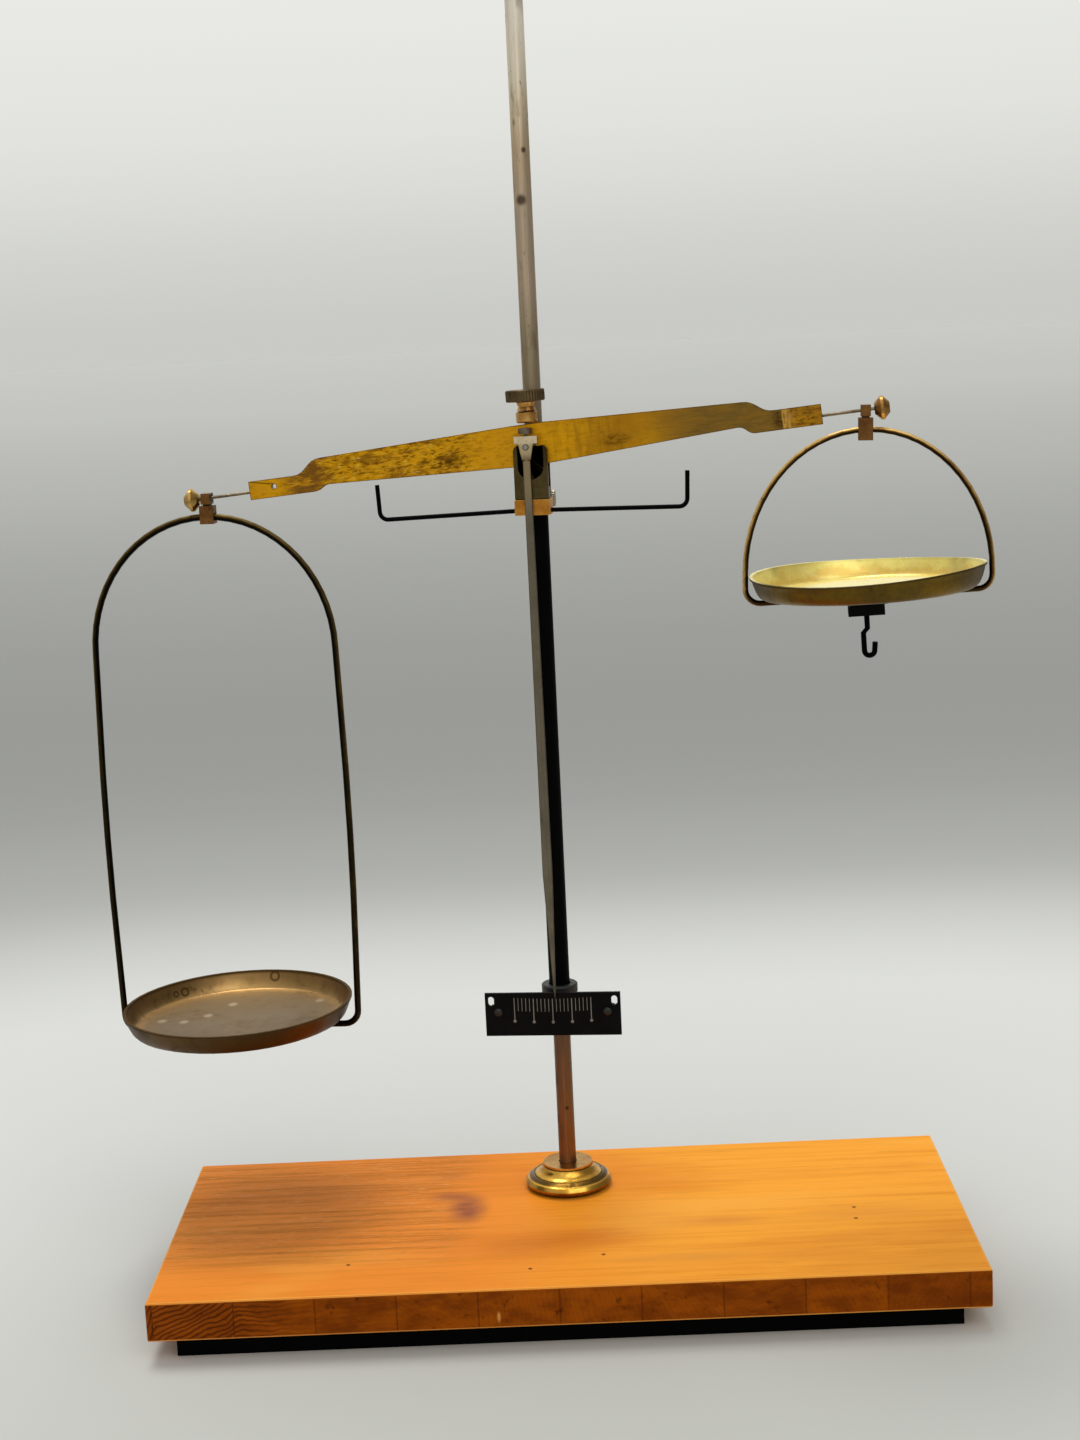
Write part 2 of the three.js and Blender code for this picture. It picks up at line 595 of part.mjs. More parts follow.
// The upright opening, round at its foot, in which a bearing sits
function bearingOutline(grow, top) {
  const half = BEARING_WIDTH / 2 + grow;
  const centre = BEARING_BOTTOM + BEARING_WIDTH / 2;
  const outline = new THREE.Shape();
  outline.moveTo(half, top);
  outline.lineTo(-half, top);
  outline.lineTo(-half, centre);
  outline.absarc(0, centre, half, Math.PI, 2 * Math.PI);
  return outline;
}

function yoke() {
  const [half, corner, bottom] = [YOKE_WIDTH / 2, YOKE_CORNER, BLOCK_TOP + GAP];
  const outline = new THREE.Shape();
  outline.moveTo(-half, bottom);
  outline.lineTo(half, bottom);
  outline.lineTo(half, YOKE_TOP - corner);
  outline.absarc(half - corner, YOKE_TOP - corner, corner, 0, Math.PI / 2);
  outline.absarc(corner - half, YOKE_TOP - corner, corner, Math.PI / 2, Math.PI);
  const depth = YOKE_BACK - YOKE_FRONT;
  const space = CHEEK_SPACE / 2;
  const body = solid(plate(outline, depth, { curveSegments: 6 }))
    .subtract(box([-half - OVERRUN, -space, YOKE_FLOOR], [half + OVERRUN, space, YOKE_TOP + OVERRUN]))
    .subtract(solid(plate(bearingOutline(GAP, YOKE_TOP + OVERRUN), depth + OVERRUN)));
  const mesh = piece('yoke', body, finishes.bronze);
  mesh.position.y = -BEAM_OFFSET;
  return mesh;
}

// One bearing block, with the notch in which the knife edge rocks
function bearing(name, side) {
  const notchTop = YOKE_TOP + OVERRUN;
  const reach = (notchTop + GAP) * Math.tan(NOTCH_ANGLE);
  const notch = [at(0, -GAP), at(reach, notchTop), at(-reach, notchTop)];
  const thickness = CHEEK_THICKNESS - BEARING_RECESS;
  const body = solid(plate(bearingOutline(0, YOKE_TOP), thickness, { curveSegments: 8 }))
    .subtract(solid(plate(notch, thickness + OVERRUN)));
  const mesh = piece(name, body, finishes.agate);
  mesh.position.y = -BEAM_OFFSET + (side * (CHEEK_SPACE + thickness)) / 2;
  return mesh;
}

function thumbscrew() {
  const face = HUB_WIDTH / 2 + GAP;
  const neckEnd = face + THUMB_NECK_LENGTH;
  const shaft = solid(turned([
    [0, ROD_RADIUS + GAP], [THUMB_SHANK_RADIUS, ROD_RADIUS + GAP], [THUMB_SHANK_RADIUS, face],
    [THUMB_NECK_RADIUS, face], [THUMB_NECK_RADIUS, neckEnd + OVERRUN], [0, neckEnd + OVERRUN],
  ], SMALL_STEPS));
  const head = knurled(THUMB_HEAD_RADIUS, neckEnd, neckEnd + THUMB_HEAD_THICKNESS, KNURL_DEPTH, KNURL_TEETH);
  const mesh = piece('thumbscrew', shaft.add(head), finishes.zinc);
  mesh.rotation.y = Math.PI / 2;
  mesh.position.z = THUMB_HEIGHT;
  return mesh;
}

// The stop wire lies under the beam and runs through the block, with both ends turned up
function stopWire() {
  const corners = [
    at(-STOP_CORNER_LEFT, STOP_AXIS - STOP_DROOP_LEFT), at(STOP_CORNER_RIGHT, STOP_AXIS - STOP_DROOP_RIGHT),
  ];
  const tips = [
    at(corners[0].x - (STOP_TIP_LEFT - corners[0].y) * Math.tan(STOP_LEAN_LEFT), STOP_TIP_LEFT),
    at(corners[1].x + (STOP_TIP_RIGHT - corners[1].y) * Math.tan(STOP_LEAN_RIGHT), STOP_TIP_RIGHT),
  ];
  const block = BLOCK_WIDTH / 2;
  const inner = [at(-block, STOP_AXIS), at(block, STOP_AXIS)];
  const points = [
    tips[0],
    ...roundCorner(tips[0], corners[0], inner[0], STOP_BEND_RADIUS, STOP_BEND_STEPS),
    inner[0],
    inner[1],
    ...roundCorner(inner[1], corners[1], tips[1], STOP_BEND_RADIUS, STOP_BEND_STEPS),
    tips[1],
  ];
  const mesh = piece('stop_wire', wire(points, STOP_RADIUS), finishes.black);
  mesh.position.y = -BEAM_OFFSET;
  return mesh;
}

// Scale group: the sleeve under the block, the collar on its lower end and the plate in front
const SLEEVE_TOP = BLOCK_BOTTOM - GAP;
const SLEEVE_BOTTOM = SLEEVE_TOP - SLEEVE_LENGTH;
const POINTER_BACK = YOKE_FRONT - POINTER_CLEARANCE - (HEAD_THICKNESS - BLADE_THICKNESS) / 2;
const PLATE_FRONT = POINTER_BACK + POINTER_TO_PLATE;
const PLATE_BACK = PLATE_FRONT + PLATE_THICKNESS;
const SCALE_SCREW_HEIGHT = PLATE_TOP - SCALE_SCREW_DROP;

function sleeveTube() {
  const bore = ROD_RADIUS + GAP;
  return piece('sleeve_tube', solid(turned([
    [bore, SLEEVE_BOTTOM], [SLEEVE_RADIUS, SLEEVE_BOTTOM], [SLEEVE_RADIUS, SLEEVE_TOP],
    [bore, SLEEVE_TOP], [bore, SLEEVE_BOTTOM],
  ])), finishes.black);
}

const COLLAR_SEAT = SLEEVE_BOTTOM - GAP;
const COLLAR_TOP = SLEEVE_BOTTOM + COLLAR_SOCKET;
const COLLAR_SHOULDER = COLLAR_TOP - COLLAR_HEIGHT;
const COLLAR_BOTTOM = COLLAR_SHOULDER - COLLAR_HUB_HEIGHT;

function scaleCollar() {
  const [rod, tube] = [ROD_RADIUS + GAP, SLEEVE_RADIUS + GAP];
  const rim = COLLAR_RADIUS - COLLAR_EDGE;
  return piece('scale_collar', solid(turned([
    [rod, COLLAR_BOTTOM], [COLLAR_HUB_RADIUS, COLLAR_BOTTOM], [COLLAR_HUB_RADIUS, COLLAR_SHOULDER],
    [rim, COLLAR_SHOULDER], [COLLAR_RADIUS, COLLAR_SHOULDER + COLLAR_EDGE],
    [COLLAR_RADIUS, COLLAR_TOP - COLLAR_EDGE], [rim, COLLAR_TOP], [tube, COLLAR_TOP],
    [tube, COLLAR_SEAT], [rod, COLLAR_SEAT], [rod, COLLAR_BOTTOM],
  ])), finishes.black);
}

function scaleBracket() {
  const half = SCALE_SCREW_SPACING / 2 + STRAP_MARGIN;
  const [low, high] = [SCALE_SCREW_HEIGHT - STRAP_HEIGHT / 2, SCALE_SCREW_HEIGHT + STRAP_HEIGHT / 2];
  const front = PLATE_BACK + GAP;
  const arm = ARM_WIDTH / 2;
  let body = box([PLATE_SHIFT - half, front, low], [PLATE_SHIFT + half, front + STRAP_THICKNESS, high])
    .add(box([-arm, front, low], [arm, 0, high]))
    .subtract(cylinderZ(COLLAR_HUB_RADIUS + GAP, low - OVERRUN, high + OVERRUN, ROUND_STEPS));
  for (const x of scaleScrewPlaces()) {
    body = body.subtract(cylinderY(SCALE_SCREW_RADIUS + GAP, front - OVERRUN, 0, x, SCALE_SCREW_HEIGHT));
  }
  return piece('scale_bracket', body, finishes.black);
}

function scaleScrewPlaces() {
  return [-1, 1].map((side) => PLATE_SHIFT + (side * SCALE_SCREW_SPACING) / 2);
}

function scalePlate() {
  const half = PLATE_WIDTH / 2;
  const [left, right, bottom] = [PLATE_SHIFT - half, PLATE_SHIFT + half, PLATE_TOP - PLATE_HEIGHT];
  let body = box([left, PLATE_FRONT, bottom], [right, PLATE_BACK, PLATE_TOP]);
  for (const x of scaleScrewPlaces()) {
    body = body.subtract(cylinderY(SCALE_SCREW_RADIUS + GAP, PLATE_FRONT - OVERRUN, 0, x, SCALE_SCREW_HEIGHT));
  }
  const slot = (PLATE_SLOT_LENGTH - PLATE_SLOT_WIDTH) / 2;
  for (const x of [left + PLATE_SLOT_INSET, right - PLATE_SLOT_INSET]) {
    const middle = PLATE_TOP - PLATE_SLOT_DROP;
    const ends = [middle - slot, middle + slot].map((z) =>
      cylinderY(PLATE_SLOT_WIDTH / 2, PLATE_FRONT - OVERRUN, PLATE_BACK + OVERRUN, x, z));
    body = body.subtract(wasm.Manifold.hull(ends));
  }
  return piece('scale_plate', body, finishes.black);
}

// A domed screw, head to the front, that goes through the plate into the bracket
function scaleScrew(name, x) {
  const head = PLATE_FRONT - GAP;
  const dome = Array.from({ length: SCALE_HEAD_STEPS + 1 }, (_, step) => {
    const angle = ((step / SCALE_HEAD_STEPS) * Math.PI) / 2;
    return [SCALE_HEAD_RADIUS * Math.cos(angle), SCALE_HEAD_HEIGHT * Math.sin(angle) - head];
  });
  const end = -(PLATE_BACK + GAP + STRAP_THICKNESS);
  const profile = [[0, end], [SCALE_SCREW_RADIUS, end], [SCALE_SCREW_RADIUS, -head], ...dome.slice(0, -1),
    [0, SCALE_HEAD_HEIGHT - head]];
  const mesh = piece(name, solid(turned(profile, SMALL_STEPS).rotateX(Math.PI / 2)), finishes.zinc);
  mesh.position.set(x, 0, SCALE_SCREW_HEIGHT);
  return mesh;
}

// Beam group, about the knife edge and square to the beam
const END_WIRE_AXIS = -END_KNIFE_RISE;

function beamOutline() {
  const left = armOutline(LEFT_SHOULDER_TOP, LEFT_SHOULDER_BOTTOM, LEFT_BAR_TOP, LEFT_BAR_BOTTOM);
  const right = armOutline(RIGHT_SHOULDER_TOP, RIGHT_SHOULDER_BOTTOM, RIGHT_BAR_TOP, RIGHT_BAR_BOTTOM);
  return [...right, ...left.map(({ x, y }) => at(-x, y)).reverse()];
}

// One arm of the beam as if it were the right one, from its upper edge at the middle to its lower edge
function armOutline(shoulderTop, shoulderBottom, barTop, barBottom) {
  const sweep = (x1, z1, x2, z2) => {
    const pull = (x2 - x1) * STEP_SHARE;
    return new THREE.CubicBezierCurve(at(x1, z1), at(x1 + pull, z1), at(x2 - pull, z2), at(x2, z2))
      .getPoints(STEP_STEPS);
  };
  return [
    at(BEAM_CENTRE_HALF, BEAM_CENTRE_TOP),
    ...sweep(SHOULDER_OUT, shoulderTop, SHOULDER_OUT + STEP_LENGTH, barTop),
    at(BAR_TIP_OUT, barTop),
    at(BAR_TIP_OUT, barBottom),
    ...sweep(SHOULDER_OUT_BELOW + STEP_LENGTH_BELOW, barBottom, SHOULDER_OUT_BELOW, shoulderBottom),
    at(BEAM_CENTRE_HALF, BEAM_CENTRE_BOTTOM),
  ];
}

// The knife's section, edge down, grown by a clearance for its seat in the beam
function knifeOutline(grow) {
  const [half, top] = [KNIFE_HALF_WIDTH + grow, KNIFE_DEPTH + grow];
  return [at(0, -grow), at(half, top), at(-half, top)];
}

function beam() {
  let body = solid(plate(beamOutline(), BEAM_THICKNESS))
    .subtract(solid(plate(knifeOutline(GAP), BEAM_THICKNESS + OVERRUN)))
    .subtract(cylinderZ(STUD_RADIUS + GAP, -STUD_SEAT - GAP, OVERRUN)
      .rotate([0, THREE.MathUtils.radToDeg(STUD_LEAN), 0]).translate(0, 0, BEAM_CENTRE_TOP))
    .subtract(cylinderY(PIN_HOLE_RADIUS, -BEAM_THICKNESS, BEAM_THICKNESS, -PIN_HOLE_OUT, PIN_HOLE_RISE));
  for (const side of [-1, 1]) {
    const [inner, outer] = [side * (END_WIRE_INNER - GAP), side * (BAR_TIP_OUT + OVERRUN)];
    body = body.subtract(cylinderX(END_WIRE_RADIUS + GAP, Math.min(inner, outer), Math.max(inner, outer),
      0, END_WIRE_AXIS));
  }
  return piece('beam', body, finishes.brass);
}

const END_WIRE_INNER = BAR_TIP_OUT - END_WIRE_SEAT;

function centreKnife() {
  const length = YOKE_BACK - YOKE_FRONT - 2 * KNIFE_END_GAP;
  const reach = length / 2 + POINTER_CLEARANCE + KNIFE_END_GAP + HEAD_THICKNESS + TRUNNION_PROUD;
  const body = solid(plate(knifeOutline(0), length))
    .add(cylinderY(TRUNNION_RADIUS, -reach, -length / 2 + OVERRUN, -TRUNNION_LEFT, TRUNNION_RISE));
  return piece('centre_knife', body, finishes.hardSteel);
}

// Stud, nuts and disc, about the stud's own axis, with heights from the beam's upper edge. The lock
// nut's rim clears that edge although the stud leans
const LOCK_NUT_BOTTOM = GAP + LOCK_NUT_RADIUS * Math.sin(STUD_LEAN);
const LOCK_NUT_TOP = LOCK_NUT_BOTTOM + LOCK_NUT_HEIGHT;
const HUB_NUT_BOTTOM = LOCK_NUT_TOP + GAP;
const HUB_NUT_TOP = HUB_NUT_BOTTOM + HUB_NUT_HEIGHT;
const DISC_BOTTOM = HUB_NUT_TOP + GAP;
const DISC_TOP = DISC_BOTTOM + DISC_HEIGHT;

function gravityStud() {
  const top = DISC_BOTTOM + DISC_BORE_DEPTH - GAP;
  return piece('gravity_stud', cylinderZ(STUD_RADIUS, -STUD_SEAT, top), finishes.hardSteel);
}

function lockNut() {
  const [bottom, top, bore] = [LOCK_NUT_BOTTOM, LOCK_NUT_TOP, STUD_RADIUS + GAP];
  const rim = LOCK_NUT_RADIUS - LOCK_NUT_EDGE;
  return piece('lock_nut', solid(turned([
    [bore, bottom], [rim, bottom], [LOCK_NUT_RADIUS, bottom + LOCK_NUT_EDGE],
    [LOCK_NUT_RADIUS, top - LOCK_NUT_EDGE], [rim, top], [bore, top], [bore, bottom],
  ])), finishes.brass);
}

function discHub() {
  const [bottom, top, bore] = [HUB_NUT_BOTTOM, HUB_NUT_TOP, STUD_RADIUS + GAP];
  const waist = HUB_NUT_RADIUS - HUB_NUT_WAIST;
  return piece('disc_hub', solid(turned([
    [bore, bottom], [HUB_NUT_RADIUS, bottom], [waist, (bottom + top) / 2], [HUB_NUT_RADIUS, top],
    [bore, top], [bore, bottom],
  ])), finishes.brass);
}

function gravityDisc() {
  const body = knurled(DISC_RADIUS, DISC_BOTTOM, DISC_TOP, DISC_EDGE, DISC_TEETH)
    .subtract(cylinderZ(STUD_RADIUS + GAP, DISC_BOTTOM - OVERRUN, DISC_BOTTOM + DISC_BORE_DEPTH));
  return piece('gravity_disc', body, finishes.darkBrown);
}

// An end wire is screwed into the beam and has the end knife, a small prism with its edge up, soldered on it
function endWire(name, side) {
  const [inner, outer] = [side * END_WIRE_INNER, side * (BEAM_ARM + END_WIRE_PAST)];
  const half = END_KNIFE_HALF_WIDTH;
  const [cheek, foot] = [-END_KNIFE_CHEEK, -END_KNIFE_DEPTH];
  const outline = [at(0, 0), at(-half, cheek), at(-half, foot), at(half, foot), at(half, cheek)];
  const knife = solid(plate(outline, END_KNIFE_LENGTH)).translate(side * BEAM_ARM, 0, 0);
  const shaft = cylinderX(END_WIRE_RADIUS, Math.min(inner, outer), Math.max(inner, outer), 0, END_WIRE_AXIS);
  return piece(name, knife.add(shaft), finishes.steel);
}

// A balance nut is two cones on a knurled rim, screwed on the end wire
function balanceNut(name, side, out) {
  const bore = END_WIRE_RADIUS + GAP;
  const rim = (NUT_LENGTH - NUT_RIM_LENGTH) / 2;
  const body = solid(turned([
    [bore, 0], [NUT_NOSE_RADIUS, 0], [NUT_RIM_RADIUS, rim], [NUT_RIM_RADIUS, rim + NUT_RIM_LENGTH],
    [NUT_NOSE_RADIUS, NUT_LENGTH], [bore, NUT_LENGTH], [bore, 0],
  ], ROUND_STEPS));
  const mesh = piece(name, body, finishes.brass);
  mesh.rotation.y = (side * Math.PI) / 2;
  mesh.position.set(side * (BEAM_ARM + out), 0, END_WIRE_AXIS);
  return mesh;
}

// Pointer group, about the trunnion's axis
const POINTER_MIDDLE = YOKE_FRONT - POINTER_CLEARANCE - HEAD_THICKNESS / 2;
const HEAD_BAR_TOP = HEAD_BAR_BOTTOM + HEAD_BAR_HEIGHT;

function pointerHead() {
  const [bar, neckTop, neckFoot] = [HEAD_BAR_WIDTH / 2, NECK_TOP_WIDTH / 2, NECK_BOTTOM_WIDTH / 2];
  const outline = [
    at(-neckFoot, NECK_BOTTOM), at(neckFoot, NECK_BOTTOM), at(neckTop, HEAD_BAR_BOTTOM),
    at(bar, HEAD_BAR_BOTTOM), at(bar, HEAD_BAR_TOP), at(-bar, HEAD_BAR_TOP),
    at(-bar, HEAD_BAR_BOTTOM), at(-neckTop, HEAD_BAR_BOTTOM),
  ];
  const slotHalf = BLADE_TOP_WIDTH / 2 - TONGUE_INSET + GAP;
  const body = solid(plate(outline, HEAD_THICKNESS))
    .subtract(cylinderY(TRUNNION_RADIUS + GAP, -HEAD_THICKNESS, HEAD_THICKNESS, 0, 0))
    .subtract(cylinderZ(POINTER_SCREW_RADIUS + GAP, 0, HEAD_BAR_TOP + OVERRUN))
    .subtract(box([-slotHalf, -BLADE_SLOT / 2, NECK_BOTTOM - OVERRUN], [slotHalf, BLADE_SLOT / 2, TONGUE_TOP + GAP]));
  return piece('pointer_head', body, finishes.steel);
}

// The blade's tongue goes up into a slot in the head's neck
const TONGUE_TOP = NECK_BOTTOM + TONGUE_LENGTH;
const BLADE_SLOT = BLADE_THICKNESS + 2 * GAP;

function pointerBlade() {
  const [upper, wide, point] = [BLADE_TOP_WIDTH / 2, BLADE_WIDTH / 2, BLADE_POINT_WIDTH / 2];
  const [tongue, top] = [upper - TONGUE_INSET, NECK_BOTTOM - GAP];
  const [taper, tip] = [BLADE_TIP + BLADE_TAPER, BLADE_TIP + BLADE_POINT];
  const outline = [
    at(tongue, TONGUE_TOP), at(tongue, top), at(upper, top), at(wide, taper), at(BLADE_TIP_SHIFT + point, tip),
    at(BLADE_TIP_SHIFT, BLADE_TIP), at(BLADE_TIP_SHIFT - point, tip), at(-wide, taper), at(-upper, top),
    at(-tongue, top), at(-tongue, TONGUE_TOP),
  ];
  const body = solid(plate(outline, BLADE_THICKNESS));
  return piece('pointer_blade', body, finishes.steel);
}

function pointerScrew() {
  const [foot, head] = [TRUNNION_RADIUS + GAP, HEAD_BAR_TOP + POINTER_SCREW_NECK];
  const top = head + POINTER_SCREW_HEAD_HEIGHT;
  return piece('pointer_screw', solid(turned([
    [0, foot], [POINTER_SCREW_RADIUS, foot], [POINTER_SCREW_RADIUS, head], [POINTER_SCREW_HEAD_RADIUS, head],
    [POINTER_SCREW_HEAD_RADIUS, top], [0, top],
  ], SMALL_STEPS)), finishes.hardSteel);
}

// Hanger groups, about the end knife's edge
const WINDOW_TOP = GAP;
const WINDOW_BOTTOM = WINDOW_TOP - WINDOW_HEIGHT;
const FRAME_BOTTOM = WINDOW_BOTTOM - FRAME_FOOT;

// A stirrup rests on the end knife with its window's roof and carries the bail in its lower block
function stirrup(name, blockHeight, bailRadius, shift) {
  const deep = STIRRUP_DEPTH / 2;
  const [frame, neck, block] = [FRAME_WIDTH / 2, GROOVE_WIDTH / 2, STIRRUP_BLOCK_WIDTH / 2];
  const blockTop = FRAME_BOTTOM - GROOVE_HEIGHT;
  const window = WINDOW_WIDTH / 2;
  const body = box([-frame, -deep, FRAME_BOTTOM], [frame, deep, WINDOW_TOP + FRAME_ROOF])
    .add(box([-neck, -neck, blockTop - OVERRUN], [neck, neck, FRAME_BOTTOM + OVERRUN]))
    .add(box([-block, -deep, blockTop - blockHeight], [block, deep, blockTop]))
    .subtract(box([-frame - OVERRUN, -window, WINDOW_BOTTOM], [frame + OVERRUN, window, WINDOW_TOP]))
    .subtract(cylinderX(bailRadius + BAIL_HOLE_GAP, -block - OVERRUN, block + OVERRUN, 0, -BAIL_DROP));
  const mesh = piece(name, body, finishes.bronze);
  mesh.position.x = shift;
  return mesh;
}

// A bail is one wire: from the middle under the pan, up a leg, over the arch and back again
function bailPoints(half, archHeight, bow, bottom, slope) {
  const spring = -BAIL_DROP - archHeight;
  const fall = (x) => bottom + x * Math.tan(slope);
  const corner = (side) => at(side * half, fall(side * half));
  const leg = (side) => {
    const foot = corner(side).y + BAIL_CORNER;
    return Array.from({ length: LEG_STEPS - 1 }, (_, step) => {
      const share = (step + 1) / LEG_STEPS;
      return at(side * (half + bow * Math.sin(Math.PI * share)), THREE.MathUtils.lerp(foot, spring, share));
    });
  };
  const end = (side) => at((side * BAIL_END_GAP) / 2, fall((side * BAIL_END_GAP) / 2));
  const arch = Array.from({ length: ARCH_STEPS + 1 }, (_, step) => {
    const angle = Math.PI * (1 - step / ARCH_STEPS);
    return at(half * Math.cos(angle), spring + archHeight * Math.sin(angle));
  });
  const leftTop = arch[0];
  const rightTop = arch[arch.length - 1];
  return [
    end(-1),
    ...roundCorner(end(-1), corner(-1), leftTop, BAIL_CORNER, CORNER_STEPS),
    ...leg(-1),
    ...arch,
    ...leg(1).reverse(),
    ...roundCorner(rightTop, corner(1), end(1), BAIL_CORNER, CORNER_STEPS),
    end(1),
  ];
}

// A pan's profile, with its rim at height 0
function panProfile(radius) {
  const floor = radius * PAN_FLOOR_SHARE;
  const wall = (inset, rise, top) => new THREE.QuadraticBezierCurve(
    at(floor, rise - PAN_DEPTH),
    at(radius - PAN_WALL_PULL - inset, rise + PAN_WALL_LIFT - PAN_DEPTH),
    at(radius - inset, top),
  ).getPoints(PAN_WALL_STEPS);
  const outside = wall(LIP_WIDTH, 0, -LIP_HEIGHT);
  const inside = wall(LIP_WIDTH + PAN_THICKNESS, PAN_THICKNESS, 0).reverse();
  return [
    at(0, -PAN_DEPTH), ...outside, at(radius, -LIP_HEIGHT), at(radius, 0), ...inside, at(0, PAN_THICKNESS - PAN_DEPTH),
  ].map(({ x, y }) => [x, y]);
}

// A pan. A bent one keeps its floor flat, and its wall rises and falls twice on the way round
function pan(name, radius, finish, bend = 0, turn = 0) {
  const body = solid(turned(panProfile(radius), PAN_STEPS)).warp((point) => {
    const [x, y] = point;
    const share = THREE.MathUtils.smoothstep(Math.hypot(x, y), radius * PAN_FLOOR_SHARE, radius);
    point[2] += bend * share * Math.cos(2 * (Math.atan2(y, x) - turn));
  });
  return piece(name, body, finish);
}

// A saddle is fixed under a pan and holds the bail's two ends. Heights count from the pan's rim
function saddle(name, length, height, bailRadius) {
  const [half, deep, top] = [length / 2, SADDLE_DEPTH / 2, -PAN_DEPTH - GAP];
  const body = box([-half, -deep, top - height], [half, deep, top])
    .subtract(cylinderX(bailRadius + GAP, -half - OVERRUN, half + OVERRUN, 0, bailHeightUnderRim(bailRadius)));
  return piece(name, body, finishes.brass);
}

function bailHeightUnderRim(bailRadius) {
  return -PAN_DEPTH - GAP - SADDLE_ROOF - GAP - bailRadius;
}

const HOOK_BLOCK_TOP = -PAN_DEPTH - GAP - RIGHT_SADDLE_HEIGHT - GAP;
const HOOK_BLOCK_BOTTOM = HOOK_BLOCK_TOP - HOOK_BLOCK_HEIGHT;

function hookBlock() {
  const [half, deep] = [RIGHT_SADDLE_LENGTH / 2, HOOK_BLOCK_DEPTH / 2];
  const body = box([-half, -deep, HOOK_BLOCK_BOTTOM], [half, deep, HOOK_BLOCK_TOP])
    .subtract(cylinderZ(HOOK_RADIUS + GAP, HOOK_BLOCK_BOTTOM - OVERRUN, HOOK_BLOCK_BOTTOM + HOOK_SEAT + GAP));
  const mesh = piece('hook_block', body, finishes.black);
  mesh.position.x = HOOK_SHIFT;
  return mesh;
}

function panHook() {
  const stemEnd = HOOK_BLOCK_BOTTOM - HOOK_STEM;
  const shankTop = stemEnd - HOOK_JOG_DROP;
  const centre = shankTop - HOOK_SHANK;
  const bend = Array.from({ length: HOOK_BEND_STEPS + 1 }, (_, step) => {
    const angle = Math.PI * (1 + step / HOOK_BEND_STEPS);
    return at(HOOK_BEND_RADIUS - HOOK_JOG + HOOK_BEND_RADIUS * Math.cos(angle),
      centre + HOOK_BEND_RADIUS * Math.sin(angle));
  });
  const points = [
    at(0, HOOK_BLOCK_BOTTOM + HOOK_SEAT), at(0, HOOK_BLOCK_BOTTOM), at(0, stemEnd), at(-HOOK_JOG, shankTop), ...bend,
    at(2 * HOOK_BEND_RADIUS - HOOK_JOG + HOOK_TIP_LEAN, centre + HOOK_TIP_RISE),
  ];
  const mesh = piece('pan_hook', wire(points, HOOK_RADIUS), finishes.black);
  mesh.position.x = HOOK_SHIFT;
  return mesh;
}

function group(children, place = [0, 0, 0], axis = 'y', angle = 0) {
  const made = new THREE.Group();
  made.add(...children);
  made.position.set(...place);
  made.rotation[axis] = angle;
  return made;
}

// A point on the tilted beam, given square to the beam, in the head's own directions
function onBeam(x, z) {
  return new THREE.Vector3(x, 0, z).applyAxisAngle(new THREE.Vector3(0, 1, 0), -REST_TILT)
    .add(new THREE.Vector3(0, -BEAM_OFFSET, 0)).toArray();
}

// A hanger: stirrup, bail and what the bail carries, tilted about the bail's wire under the pan
function hanger(parts, bail, bailShift, rim, radius, panShift, tilt) {
  const [under, bottom] = [bailHeightUnderRim(radius), rim + bailHeightUnderRim(radius)];
  const carried = group([group(parts, [panShift, 0, -under])], [bailShift, 0, bottom], 'y', -tilt);
  bail.position.x = bailShift;
  return [bail, carried];
}

const leftBail = piece('bail_left', wire(bailPoints(LEFT_BAIL_HALF, LEFT_ARCH_HEIGHT, LEFT_LEG_BOW,
  LEFT_RIM + bailHeightUnderRim(LEFT_BAIL_RADIUS), LEFT_PAN_TILT), LEFT_BAIL_RADIUS), finishes.black);
const rightBail = piece('bail_right', wire(bailPoints(RIGHT_BAIL_HALF, RIGHT_ARCH_HEIGHT, RIGHT_LEG_BOW,
  RIGHT_RIM + bailHeightUnderRim(RIGHT_BAIL_RADIUS), RIGHT_PAN_TILT), RIGHT_BAIL_RADIUS), finishes.bronze);

const leftHanger = group([
  stirrup('stirrup_left', LEFT_BLOCK_HEIGHT, LEFT_BAIL_RADIUS, LEFT_STIRRUP_SHIFT),
  ...hanger([
    pan('pan_left', LEFT_PAN_RADIUS, finishes.panBronze),
    saddle('saddle_left', LEFT_SADDLE_LENGTH, LEFT_SADDLE_HEIGHT, LEFT_BAIL_RADIUS),
  ], leftBail, LEFT_BAIL_SHIFT, LEFT_RIM, LEFT_BAIL_RADIUS, LEFT_PAN_SHIFT, LEFT_PAN_TILT),
], onBeam(-BEAM_ARM, 0));

const rightHanger = group([
  stirrup('stirrup_right', RIGHT_BLOCK_HEIGHT, RIGHT_BAIL_RADIUS, RIGHT_STIRRUP_SHIFT),
  ...hanger([
    pan('pan_right', RIGHT_PAN_RADIUS, finishes.brass, RIGHT_PAN_BEND, RIGHT_PAN_BEND_TURN),
    saddle('saddle_right', RIGHT_SADDLE_LENGTH, RIGHT_SADDLE_HEIGHT, RIGHT_BAIL_RADIUS),
    hookBlock(),
    panHook(),
  ], rightBail, RIGHT_BAIL_SHIFT, RIGHT_RIM, RIGHT_BAIL_RADIUS, RIGHT_PAN_SHIFT, RIGHT_PAN_TILT),
], onBeam(BEAM_ARM, 0), 'y', RIGHT_SWING);

